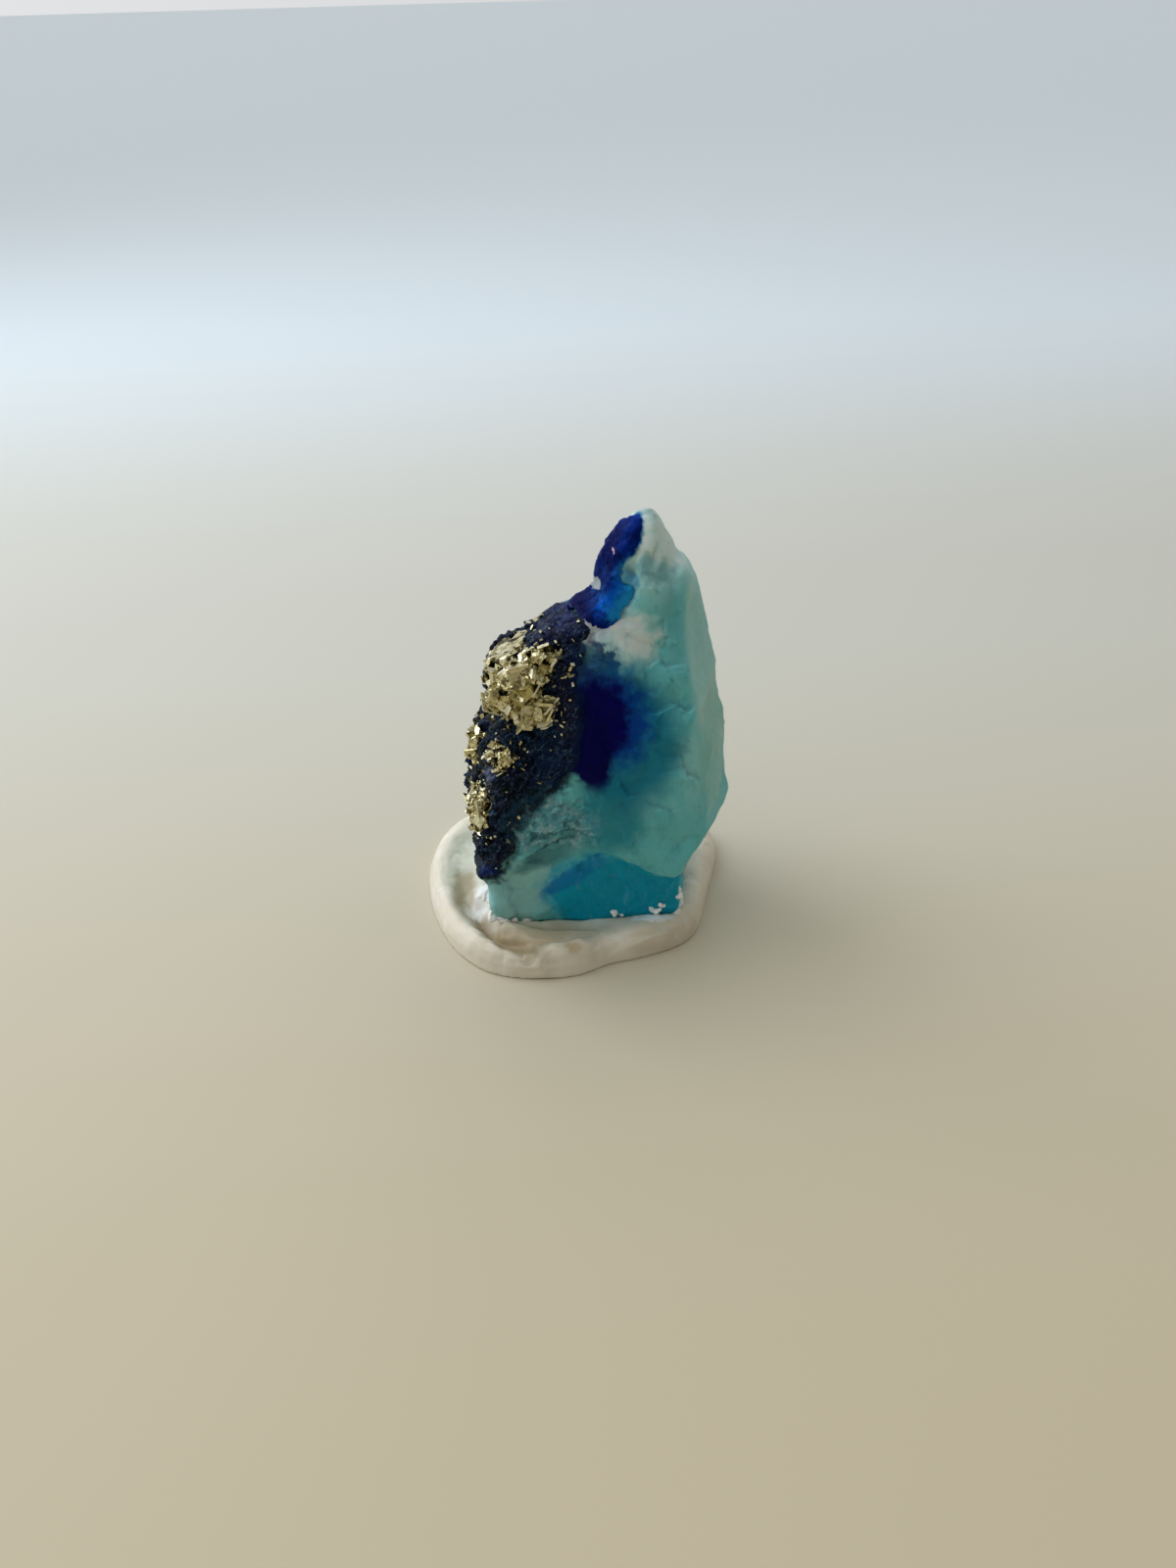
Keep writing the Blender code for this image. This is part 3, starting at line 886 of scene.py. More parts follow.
@dataclass(frozen=True)
class BlueAfghanite:
    """Afghanite: a vivid blue silicate that broke level with the calcite around it.

    It is nearly opaque and glassy on small faces, ultramarine in its thick part and azure where it
    thins out into the calcite.
    """

    body: str = "#00246e"
    index: float = 1.52
    gloss: float = 0.07
    roughness: Span = (0.42, 0.62)
    glow: Point = (0.3, 0.5, 0.9)
    glow_depth: float = 0.4
    # Its thick and thin parts, night blue clouds, its azure border and turquoise fringe, and inclusions.
    layers: tuple[Layer, ...] = (
        Tint("#0060c2", (4.2, -3.4, 34.2), (2.6, 3.2, 2.2), 10, 0.6, Edge.RAGGED, 0.9),
        Tint("#000c50", (3.6, -2.8, 36.4), (1.6, 3.0, 3.0), 34, 0.6, Edge.SOFT, 0.85),
        Tint("#040c48", (1.2, -2.4, 32.6), (1.9, 3.0, 1.7), 0, 0.6, Edge.RAGGED, 0.9),
        Tint("#002f86", (6.2, -3.6, 38.0), (1.3, 3.0, 2.8), 12, 0.9, Edge.SOFT, 0.85),
        Cloud("#00083c", (1.2, 1.2, 1.8), 0.5, 0.68, 0.6),
        Seep("#0058b8", "border", -0.3, 0.5, 0.5, 0.7),
        Seep(FRINGE.colour, "border", -1.7, -0.3, 0.45, 0.8, within=FRINGE),
        Tint("#a9b2b4", (2.7, -2.0, 34.4), (1.2, 1.6, 0.55), 8, 0.3, Edge.CRISP, 1.0),
        Tint("#c9a9b8", (4.3, -3.3, 37.4), (0.14, 0.5, 0.26), 0, 0.3, Edge.CRISP, 1.0),
        Specks("#9fb2cc", 1.3, 0.05, 0.1),
    )

    def material(self) -> bpy.types.Material:
        """Make the material.

        Returns:
            The material.
        """
        ground = Ground("blue_afghanite", self.body)
        ground.paint(*self.layers)
        return ground.finish(
            Roughness=ground.uneven(0.6, (0.35, 0.7), self.roughness),
            IOR=self.index,
            Specular_IOR_Level=self.gloss,
            Subsurface_Weight=0.5,
            Subsurface_Radius=self.glow,
            Subsurface_Scale=self.glow_depth * MM,
            Normal=ground.relief(((0.35, 0.35, 0.6), 0.05), ((0.12, 0.12, 0.12), 0.02)),
        )


@dataclass(frozen=True)
class DarkCrust:
    """Matrix: a fine-grained, sulphide-rich dark rock, broken rough.

    It is near black with navy, teal and purple grains, and each grain's glassy break gives a small
    glint. Dust of pyrite lies in it as brassy points.
    """

    body: str = "#08172f"
    index: float = 1.55
    gloss: float = 0.1
    roughness: Span = (0.18, 0.5)
    # Teal and purple clouds and tints, black and slate grains and veins, black painted shade in the hollows,
    # khaki and navy places.
    layers: tuple[Layer, ...] = (
        Cloud("#0b4066", (1.1, 1.1, 1.6), 0.5, 0.68, 0.7, 45),
        Cloud("#180c38", (1.7, 1.7, 1.7), 0.53, 0.7, 0.7),
        Tint("#0b0f3a", (-1.0, -3.2, 31.4), (3.4, 3.4, 2.0), 30, 0.7, Edge.RAGGED, 0.9),
        Tint("#1e2c62", (0.2, -3.6, 32.0), (1.4, 3.0, 0.7), 30, 0.8, Edge.RAGGED, 0.7),
        Tint("#180824", (-5.8, -2.4, 28.4), (2.2, 4.0, 1.8), 40, 0.6, Edge.RAGGED, 0.85),
        Tint("#0a2c58", (-0.8, -8.0, 21.8), (2.2, 3.0, 5.6), 10, 0.8, Edge.RAGGED, 0.5),
        Tint("#04304c", (-2.6, -8.4, 24.0), (1.9, 2.0, 2.4), 0, 0.8, Edge.RAGGED, 0.5),
        Tint("#656c86", (-7.0, -8.2, 19.4), (0.7, 1.6, 1.3), 20, 0.5, Edge.CRISP, 0.85),
        Tint("#0c2c70", (-7.2, -9.0, 9.0), (1.5, 2.0, 0.9), 0, 0.6, Edge.CRISP, 0.8),
        Tint("#241a30", (0.5, -7.6, 25.4), (1.3, 3.0, 4.4), -4, 0.8, Edge.RAGGED, 0.6),
        Tint("#1c5066", (-3.6, -9.2, 15.6), (3.4, 2.0, 1.4), -40, 0.8, Edge.RAGGED, 0.6),
        Cloud("#020818", (0.55, 0.55, 1.4), 0.49, 0.62, 0.8, 45),
        Cloud("#586e82", (0.9, 0.9, 1.6), 0.58, 0.76, 0.45, 45),
        Cloud("#586e82", (0.18, 0.18, 0.8), 0.57, 0.67, 0.8, 45),
        Veins("#586e82", (0.9, 0.9, 1.8), 0.02, 0.6, 45),
        # Painted shade: black in the crust's hollows.
        Mark("#020818", "hollow", 0.6),
        Cloud(LEFT_SIDE.colour, (0.7, 0.7, 1.2), 0.5, 0.6, 0.8, 20, within=LEFT_SIDE),
        Seep(BESIDE_CORE.colour, "border", 1.6, 0.2, 0.8, 0.6, within=BESIDE_CORE),
    )
    dust: Specks = Specks("#a39a70", 0.42, 0.06, 0.05)

    def material(self) -> bpy.types.Material:
        """Make the material.

        Returns:
            The material.
        """
        ground = Ground("dark_crust", self.body)
        ground.paint(*self.layers, self.dust)
        return ground.finish(
            Metallic=ground.share(self.dust),
            Roughness=ground.uneven(0.4, (0.35, 0.65), self.roughness),
            IOR=self.index,
            Specular_IOR_Level=self.gloss,
            Normal=ground.relief(((0.3, 0.3, 0.3), 0.05), ((0.12, 0.12, 0.12), 0.03)),
        )


@dataclass(frozen=True)
class BrassyPyrite:
    """Pyrite: iron sulphide in flaky crystals grown into one another.

    A pale brass metal to the eye with lightly striated faces, whitish where a face catches the light,
    olive and brown with tarnish, and dark brown in its hollows, partly tarnish and partly painted shade.
    """

    body: str = "#d2c99c"
    roughness: Span = (0.1, 0.36)
    layers: tuple[Layer, ...] = (
        # Silvery crystals at random, and on the stout nuggets a painted highlight.
        Mark("#f2eedb", "shade"),
        Cloud("#70683e", (0.6, 0.6, 1.0), 0.48, 0.68, 0.75, 40),
        Cloud("#1d170c", (0.25, 0.25, 0.4), 0.6, 0.72, 0.7, 40),
        # Dark brown in the hollows: partly tarnish and partly painted shade.
        Mark("#1d170c", "hollow"),
    )

    def material(self) -> bpy.types.Material:
        """Make the material.

        Returns:
            The material.
        """
        ground = Ground("brassy_pyrite", self.body)
        ground.paint(*self.layers)
        return ground.finish(
            Metallic=1.0,
            Roughness=ground.uneven(0.4, (0.3, 0.7), self.roughness),
            Normal=ground.relief(((0.12, 0.25, 0.5), 0.035), ((0.09, 0.09, 0.09), 0.012)),
        )


@dataclass(frozen=True)
class ReusablePutty:
    """Adhesive putty: white elastomer and chalk, rolled and pressed by hand.

    It is matt and a little soft to the light, off-white where it was rolled and grey-brown in patches
    where fingers pressed dust into it. It is painted with shade, mixed with dust, in the thumb groove,
    and painted with shade in front of the stone.
    """

    name: str = "adhesive_putty"
    body: str = "#e2dbc9"
    index: float = 1.48
    roughness: Span = (0.45, 0.65)
    glow: Point = (1.0, 0.8, 0.6)
    glow_depth: float = 0.5
    layers: tuple[Layer, ...] = (
        Cloud("#f0ede2", (3.0, 3.0, 3.0), 0.5, 0.7, 0.6),
        Cloud("#85734f", (1.6, 1.6, 1.6), 0.6, 0.8, 0.2),
        # Painted shade mixed with dust in the thumb groove.
        Mark("#85734f", "groove", 0.8),
        Tint("#f6f5f0", (-9.4, -4.6, 2.2), (1.5, 2.6, 1.6), 0, 0.5, Edge.CRISP, 0.9),
        # Painted shade where the groove widens toward the stone.
        Tint("#a0906f", (-10.9, -2.6, 1.6), (1.2, 3.2, 1.2), 0, 0.8, Edge.SOFT, 0.75),
        # Painted shade on the pad in front of the stone's foot and to its right.
        Tint("#a89672", (-2.5, -10.6, 1.8), (6.0, 2.4, 1.6), 0, 0.9, Edge.SOFT, 0.7),
        Tint("#a89672", (9.5, -10.0, 1.6), (5.0, 3.0, 2.4), 0, 0.9, Edge.SOFT, 0.35),
        Tint("#b49d74", (-0.1, -12.6, 2.6), (0.8, 0.6, 0.5), 0, 0.9, Edge.CRISP, 0.55),
        Tint("#f6f7f4", (7.5, -8.6, 4.6), (5.0, 1.4, 2.2), 0, 0.3, Edge.CRISP, 1.0),
        Specks("#3b342b", 1.9, 0.11, 0.07),
    )

    def material(self) -> bpy.types.Material:
        """Make the material.

        Returns:
            The material.
        """
        ground = Ground(self.name, self.body)
        ground.paint(*self.layers)
        return ground.finish(
            Roughness=ground.uneven(0.9, (0.3, 0.7), self.roughness),
            IOR=self.index,
            Subsurface_Weight=0.4,
            Subsurface_Radius=self.glow,
            Subsurface_Scale=self.glow_depth * MM,
            Normal=ground.relief(((0.7, 0.7, 0.7), 0.05), ((0.18, 0.18, 0.18), 0.014)),
        )


@dataclass
class StoneSkin:
    """The whole stone's skin, from which each mineral's piece is cut.

    The solids stand a hair apart. Here they are grown together, so that no gap shows, and broken into
    the facets that run through all of the minerals.
    """

    # The size of a face, and how far the solids are grown to meet, in mm.
    grain: float = 0.19
    gap_filling: float = 0.18
    facets: tuple[Facets, ...] = (Facets(2.8, 0.065, 0.04, 3), Facets(1.0, 0.05, 0.02, 4))
    # How much flatter the side that faces right is, and how far right a normal leans there.
    flat_share: float = 0.8
    facing_right: Span = (0.15, 0.7)
    border_wander: tuple[Lumps, ...] = (Lumps(1.1, 0.5, 6), Lumps(0.4, 0.3, 7))
    # Where the borders draw back: by the pale lump, above the blue core, and at the crest's narrow neck.
    crust_bays: tuple[Bay, ...] = (Bay((-3.4, -9.2, 14.6), 4.4, 1.1), Bay((1.4, -6.9, 28.8), 3.4, 1.0))
    crest_bays: tuple[Bay, ...] = (Bay((5.5, -4.6, 36.1), 1.7, 1.2),)
    # How near to the skin a slab's point is made level with it, in mm.
    snap: float = 0.12

    def __post_init__(self) -> None:
        """Grow the skin."""
        minerals = ("calcite_body", "dark_matrix", "afghanite_crest")
        self.trees = [search_tree(node) for node in minerals]
        self.mould = copy_of_nodes("mould", *minerals)
        raise_by(self.mould, self.gap_filling)
        regrow(self.mould, self.grain, softening=4)
        raise_by(self.mould, -self.gap_filling)
        even = 1 - self.flat_share * smooth_step(rows_of(self.mould, "normal")[:, 0], *self.facing_right)
        raise_by(self.mould, stacked(self.facets, places_of(self.mould)) * even)
        pressed_flat(self.mould)
        true_edges(self.mould)
        self.surface = search_tree(self.mould)

    def territories(self, places: Rows) -> tuple[Values, Values]:
        """How far each place is inside the crust and inside the crest, in mm, and below 0 outside them.

        Args:
            places: Rows of x, y and z, in mm.

        Returns:
            The two distances, with borders that wander.
        """
        calcite, crust, crest = (distance_to(tree, places) for tree in self.trees)
        uneven = stacked(self.border_wander, places)
        in_crust = np.minimum(calcite, crest) - crust + uneven
        in_crest = np.minimum(calcite, crust) - crest + uneven
        for bay in self.crust_bays:
            in_crust = in_crust - bay.back(places)
        for bay in self.crest_bays:
            in_crest = in_crest - bay.back(places)
        return in_crust, in_crest

    def cut(self, name: str, kept: Values, depth: float, grain: float) -> Piece:
        """Cut a slab out of the skin.

        Args:
            name: The new piece's name.
            kept: For each point of the skin, whether it belongs to the slab.
            depth: How thick the slab is, in mm.
            grain: The size of its faces, in mm.

        Returns:
            The slab, level with the skin.
        """
        work = bmesh.new()
        work.from_mesh(self.mould.data)
        work.verts.ensure_lookup_table()
        left_out = [work.verts[number] for number in np.flatnonzero(~kept)]
        bmesh.ops.delete(work, geom=left_out, context="VERTS")
        piece = from_work(name, work)
        slab = piece.modifiers.new("slab", "SOLIDIFY")
        slab.thickness = depth * MM
        slab.offset = -1.0
        settle(piece)
        regrow(piece, grain, softening=2)
        places = places_of(piece)
        for number, place in enumerate(places):
            at = Vector(place) * MM
            nearest, normal, _, away = self.surface.find_nearest(at)
            if away < self.snap * MM or (at - nearest).dot(normal) > 0:
                places[number] = np.array(nearest) / MM
        move_to(piece, places)
        return piece


@dataclass
class CalciteBody:
    """The pale main stone. Its skin also runs on under the crust and the crest, a little lower."""

    # How far it lies under what covers it, and how far from a border that and its relief are full.
    sink: float = 0.45
    cover: float = 0.7
    open: float = 0.8
    # The relief of its broken skin, and what the pale lump adds.
    rough: Ridges = Ridges(1.1, 0.06, 5)
    chips: tuple[Lumps | Facets, ...] = (
        Facets(0.9, 0.3, 0.08, 8),
        Ridges((0.5, 0.6, 1.4), 0.12, 9, lean=50),
    )
    # The lump's middle and half widths, as x and z in mm.
    lump_middle: Span = (-1.6, 14.2)
    lump_reach: Span = (4.6, 3.4)
    # Where it fades out, as shares of these with a minus sign, and how far forward it starts and is full.
    lump_edge: Span = (-1.1, -0.8)
    lump_front: Span = (5.0, 7.0)
    # The shares of the relief and of the chips away from the lump.
    elsewhere: Span = (0.2, 0.05)

    def build(self, skin: StoneSkin) -> Piece:
        """Carve and dress the stone.

        Args:
            skin: The whole stone's skin.

        Returns:
            The stone.
        """
        piece = in_scene("calcite_stone", skin.mould.data.copy())
        places = places_of(piece)
        in_crust, in_crest = skin.territories(places)
        covered = np.maximum(in_crust, in_crest)
        sunk = self.sink * smooth_step(covered, 0.0, self.cover)
        raise_by(piece, self.relief(places) * smooth_step(-covered, 0.0, self.open) - sunk)
        remember(piece, "in_crust", in_crust)
        remember(piece, "in_crest", in_crest)
        piece.data.shade_smooth()
        hand_over(piece, "calcite", FrostedCalcite().material(), "calcite_body")
        return piece

    def relief(self, places: Rows) -> Values:
        """How far the broken skin stands out at each place, in mm: most of all on the pale lump.

        Args:
            places: Points on the skin.

        Returns:
            The heights.
        """
        across, up = ((places[:, [0, 2]] - self.lump_middle) / self.lump_reach).T
        lump = smooth_step(-np.hypot(across, up), *self.lump_edge)
        lump = lump * smooth_step(-places[:, 1], *self.lump_front)
        rough, chips = self.elsewhere
        broken = stacked(self.chips, places) * (chips + (1 - chips) * lump)
        return self.rough.heights(places) * (rough + lump) + broken


@dataclass
class Slab:
    """A mineral that covers the calcite, as a slab cut out of the stone's skin."""

    # Its thickness, its height over the calcite, and how far inside its border that is full, in mm.
    depth: float
    rise: float
    inland: float
    relief: tuple[Lumps | Facets, ...]
    grain: float = 0.13
    # How far it runs on past its border, how deep it dives there, and where it does so, in mm.
    overlap: float = 0.7
    dive: float = 0.12
    dive_span: Span = (-0.1, 0.45)

    def lift(self, piece: Piece, above: Values, inside: Values) -> None:
        """Raise a slab inside its border, and let it dive under the calcite outside it."""
        sunk = self.dive * smooth_step(-inside, *self.dive_span)
        raise_by(piece, above * smooth_step(inside, 0.0, self.inland) - sunk)


@dataclass
class DarkMatrix(Slab):
    """The rough dark crust on the stone's left side."""

    depth: float = 1.0
    rise: float = 0.12
    inland: float = 1.2
    relief: tuple[Lumps | Facets, ...] = (
        Facets(1.6, 0.2, 0.1, 11),
        Facets(0.7, 0.24, 0.04, 12),
        Ridges((0.55, 0.7, 2.2), 0.24, 13, lean=45, level=0.5),
    )
    # How deep and how far inside the border a hollow starts and is full, in mm.
    hollow_depth: Span = (0.03, 0.22)
    hollow_inside: Span = (0.0, 0.9)
    # The flat breaks: from where along X, beside the core from these heights and this far forward, and
    # below the crest from these heights, all in mm. Then how calm the two are.
    calm_right: Span = (-3.6, -1.8)
    core_heights: Span = (16.0, 18.5)
    core_front: Span = (4.5, 6.0)
    crest_heights: Span = (28.5, 30.0)
    calmness: Span = (0.75, 0.9)

    def build(self, skin: StoneSkin) -> Piece:
        """Cut, roughen and dress the crust.

        Args:
            skin: The whole stone's skin.

        Returns:
            The crust.
        """
        inside, _ = skin.territories(places_of(skin.mould))
        piece = skin.cut("dark_crust", inside > -self.overlap, self.depth, self.grain)
        places = places_of(piece)
        inside, _ = skin.territories(places)
        calm = self.calm(places)
        rough = calm * stacked(self.relief, places)
        self.lift(piece, self.rise * calm + rough, inside)
        pressed_flat(piece)
        remember(piece, "border", inside)
        # Hollows, which the crust's material paints black as shade.
        hollow = smooth_step(-rough, *self.hollow_depth) * smooth_step(inside, *self.hollow_inside)
        remember(piece, "hollow", hollow)
        piece.data.shade_smooth()
        hand_over(piece, "matrix", DarkCrust().material(), "dark_matrix")
        return piece

    def calm(self, places: Rows) -> Values:
        """How rough each place is: from 1 down to little on the flat breaks by the core and the crest.

        Args:
            places: Points on the crust.

        Returns:
            The shares of the relief.
        """
        x, y, z = places.T
        by_core, by_crest = self.calmness
        beside_core = by_core * smooth_step(z, *self.core_heights) * smooth_step(-y, *self.core_front)
        below_crest = by_crest * smooth_step(z, *self.crest_heights)
        return 1 - smooth_step(x, *self.calm_right) * np.maximum(beside_core, below_crest)


@dataclass
class AfghaniteCrest(Slab):
    """The vivid blue mass along the upper left ridge, broken level with the calcite."""

    depth: float = 0.9
    rise: float = 0.03
    inland: float = 0.8
    relief: tuple[Lumps | Facets, ...] = (Facets(0.8, 0.07, 0.02, 21),)

    def build(self, skin: StoneSkin) -> Piece:
        """Cut, splinter and dress the crest.

        Args:
            skin: The whole stone's skin.

        Returns:
            The crest.
        """
        _, inside = skin.territories(places_of(skin.mould))
        piece = skin.cut("blue_crest", inside > -self.overlap, self.depth, self.grain)
        places = places_of(piece)
        _, inside = skin.territories(places)
        self.lift(piece, self.rise + stacked(self.relief, places), inside)
        remember(piece, "border", -distance_to(skin.trees[0], places))
        piece.data.shade_smooth()
        hand_over(piece, "afghanite", BlueAfghanite().material(), "afghanite_crest")
        return piece


@dataclass(frozen=True)
class Habit:
    """How the crystals of a patch grow."""

    # How many crystals, their half lengths in mm, and their thickness as a share of that.
    count: int
    size: Span
    flatness: Span
    # How deep their middles lie as a share of their size, and how far they lean, in radians.
    sink: float = 0.1
    tumble: float = 0.5
    # Their width as a share of their length, what their corners lose, and how silvery they are.
    breadth: Span = (0.4, 0.85)
    cut: Span = (0.12, 0.5)
    shade: Span = (0.0, 0.6)


class CrystalMesh:
    """Many small cut-cornered blocks gathered into one mesh."""

    def __init__(self, seed: int, limits: tuple[Break, ...] = ()) -> None:
        """Start empty.

        Args:
            seed: The seed for all that is left to chance.
            limits: Planes that no crystal stands beyond.
        """
        self.chance = np.random.default_rng(seed)
        self.limits = limits
        self.corners: list[Rows] = []
        self.faces: list[list[int]] = []
        self.shades: list[float] = []

    def block(self, cut: float) -> tuple[Rows, list[list[int]]]:
        """One cube from -1 to 1 with its corners cut off.

        Args:
            cut: How much is cut from each edge at each corner.

        Returns:
            Its points and its faces.
        """
        work = bmesh.new()
        for signs in np.ndindex(2, 2, 2):
            corner = np.array(signs) * 2.0 - 1.0
            for axis in range(3):
                point = corner.copy()
                point[axis] *= 1 - cut * self.chance.uniform(0.3, 1.7)
                work.verts.new(point)
        bmesh.ops.convex_hull(work, input=work.verts)
        bmesh.ops.dissolve_limit(work, angle_limit=math.radians(3), verts=work.verts, edges=work.edges)
        work.verts.index_update()
        points = np.array([vertex.co[:] for vertex in work.verts])
        faces = [[vertex.index for vertex in face.verts] for face in work.faces]
        work.free()
        return points, faces

    def grow(self, place: np.ndarray, outward: np.ndarray, habit: Habit) -> None:
        """Add one crystal.

        Args:
            place: A point on the surface it grows from, in mm.
            outward: The surface's normal there.
            habit: Its patch's way of growing.
        """
        length = self.chance.uniform(*habit.size)
        breadth, flatness = (self.chance.uniform(*span) for span in (habit.breadth, habit.flatness))
        cut, shade = (self.chance.uniform(*span) for span in (habit.cut, habit.shade))
        middle = place - outward * length * habit.sink
        self.add(middle, outward, length * np.array([1.0, breadth, flatness]), cut, habit.tumble, shade)

    def add(
        self, middle: Point, outward: np.ndarray, sides: np.ndarray, cut: float, tumble: float, shade: float
    ) -> None:
        """Add one crystal of given sizes.

        Args:
            middle: Its middle, in mm.
            outward: The way its flat side faces, before it is tumbled.
            sides: Its half lengths, in mm.
            cut: How much is cut off at its corners, from 0 to 1.
            tumble: How far it leans, in radians.
            shade: How silvery it is, from 0 to 1, and on the stout nuggets a painted highlight.
        """
        points, faces = self.block(cut)
        turn = Vector(outward).to_track_quat("Z", "Y").to_matrix()
        spin = Matrix.Rotation(self.chance.uniform(0, math.tau), 3, "Z")
        matrix = np.array(turn @ Euler(self.chance.normal(0, tumble, 3)).to_matrix() @ spin)
        placed = (points * sides) @ matrix.T + middle
        for limit in self.limits:
            placed = placed - limit.facing() * limit.beyond(placed).max()
        first = len(self.shades)
        self.corners.append(placed)
        self.faces += [[first + index for index in face] for face in faces]
        self.shades += [shade] * len(points)

    def to_object(self, name: str) -> Piece:
        """Turn the gathered crystals into one object.

        Args:
            name: Its name.

        Returns:
            The object, in the scene.
        """
        mesh = bpy.data.meshes.new(name)
        mesh.from_pydata(np.concatenate(self.corners) * MM, [], self.faces)
        mesh.update()
        piece = in_scene(name, mesh)
        remember(piece, "shade", np.array(self.shades))
        remember(piece, "hollow", np.zeros(len(self.shades)))
        return piece


def surface_samples(node: str, count: int, seed: int, wanted: Callable[[np.ndarray], bool]) -> list[tuple]:
    """Random points on a CAD node, spread by area.

    Args:
        node: The node.
        count: How many points.
        seed: Their seed.
        wanted: Says whether a point, in mm, is kept.

    Returns:
        Pairs of a point in mm and the normal there.
    """
    chance = np.random.default_rng(seed)
    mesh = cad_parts[node].data
    mesh.calc_loop_triangles()
    corners = [[np.array(mesh.vertices[at].co) / MM for at in face.vertices] for face in mesh.loop_triangles]
    normals = [np.array(face.normal) for face in mesh.loop_triangles]
    areas = np.array([np.linalg.norm(np.cross(b - a, c - a)) for a, b, c in corners])
    shares = areas / areas.sum()
    found = []
    while len(found) < count:
        picked = chance.choice(len(corners), p=shares)
        a, b, c = corners[picked]
        u, v = chance.uniform(0, 1, 2)
        if u + v > 1:
            u, v = 1 - u, 1 - v
        place = a + (b - a) * u + (c - a) * v
        if wanted(place):
            found.append((place, normals[picked]))
    return found


@dataclass
class PyritePatch:
    """A patch of pyrite: the CAD crystals with many smaller ones grown over them."""

    node: str
    habit: Habit
    seed: int
    # The middle and the radius of each stout crystal, in mm, and planes that no crystal stands beyond.
    nuggets: tuple[tuple[Point, float], ...] = ()
    limits: tuple[Break, ...] = ()
    # The size of a face of the CAD crystals, how far these are sunk, and how deep in the rock a small
    # crystal may still grow, in mm.
    grain: float = 0.1
    sink: float = 0.12
    buried: float = 0.2
    # Half lengths as shares of the radius.
    nugget_sides: Point = (1.0, 0.9, 0.85)
    nugget_cut: float = 0.6
    nugget_tumble: float = 0.3
    # Painted highlight: the stout nuggets are painted silvery so that they look lit.
    nugget_highlight: float = 0.9

    def build(self, material: bpy.types.Material, outside: BVHTree) -> Piece:
        """Grow and dress the patch.

        Args:
            material: The pyrite material.
            outside: A tree of the rock that the patch sits in.

        Returns:
            The patch as one object.
        """
        piece = self.crystals(outside).to_object(self.node + "_crystals")
        core = self.core()
        work = bmesh.new()
        work.from_mesh(piece.data)
        work.from_mesh(core.data)
        work.to_mesh(piece.data)
        work.free()
        bpy.data.objects.remove(core)
        true_edges(piece)
        hand_over(piece, "pyrite", material, self.node)
        return piece

    def crystals(self, outside: BVHTree) -> CrystalMesh:
        """Grow the small crystals and the nuggets.

        Args:
            outside: A tree of the rock that the patch sits in.

        Returns:
            The crystals.
        """
        crystals = CrystalMesh(self.seed, self.limits)

        def in_the_open(place: np.ndarray) -> bool:
            """Whether a place isn't deep in the rock."""
            nearest, normal, _, _ = outside.find_nearest(Vector(place * MM))
            return (Vector(place * MM) - nearest).dot(normal) > -self.buried * MM

        for place, normal in surface_samples(self.node, self.habit.count, self.seed, in_the_open):
            crystals.grow(place, normal, self.habit)
        for middle, radius in self.nuggets:
            outward = np.array(outside.find_nearest(Vector(middle) * MM)[1])
            sides = radius * np.array(self.nugget_sides)
            crystals.add(middle, outward, sides, self.nugget_cut, self.nugget_tumble, self.nugget_highlight)
        return crystals

    def core(self) -> Piece:
        """Break the CAD crystals' faces, a little below where they were.

        Returns:
            The broken crystals.
        """
        core = copy_of_nodes("core", self.node)
        regrow(core, self.grain, softening=1)
        places = places_of(core)
        rough = stacked((Facets(1.3, 0.35, 0.12, self.seed), Facets(0.6, 0.2, 0.04, self.seed + 1)), places)
        raise_by(core, rough - self.sink)
        pressed_flat(core, self.limits)
        remember(core, "shade", smooth_step(Lumps(0.8, 1.0, self.seed).heights(places), -0.2, 0.6) * 0.5)
        # Hollows, which the material darkens with tarnish and painted shade.
        remember(core, "hollow", smooth_step(-rough, 0.02, 0.2))
        return core


@dataclass
class PyriteGrains:
    """The small pyrite grains strewn over the dark crust."""

    habit: Habit = Habit(count=520, size=(0.08, 0.26), flatness=(0.15, 0.5), tumble=0.7)
    # How far from a patch they thin out, in mm, and the share of them that strays.
    near: float = 0.8
    stray: float = 0.008
    # How far they keep from the calcite, and stand over the crust, in mm.
    off_calcite: float = 0.9
    height: float = 0.15
    seed: int = 31

    def build(self, material: bpy.types.Material, patches: BVHTree, calcite: BVHTree) -> Piece:
        """Strew and dress the grains.

        Args:
            material: The pyrite material.
            patches: A tree of the pyrite patches.
            calcite: A tree of the calcite.

        Returns:
            The grains as one object.
        """
        chance = np.random.default_rng(self.seed)
        crystals = CrystalMesh(self.seed)

        def wanted(place: np.ndarray) -> bool:
            """Say whether a grain lies here: often near a patch, seldom far off, never by the calcite.

            Args:
                place: A point on the crust, in mm.

            Returns:
                The answer.
            """
            at = Vector(place * MM)
            from_patch = patches.find_nearest(at)[3] / MM
            kept = chance.uniform() < math.exp(-from_patch / self.near) + self.stray
            return kept and calcite.find_nearest(at)[3] / MM > self.off_calcite

        for place, normal in surface_samples("dark_matrix", self.habit.count, self.seed, wanted):
            crystals.grow(place + normal * self.height, normal, self.habit)
        piece = crystals.to_object("pyrite_grains")
        true_edges(piece)
        hand_over(piece, "pyrite", material)
        return piece


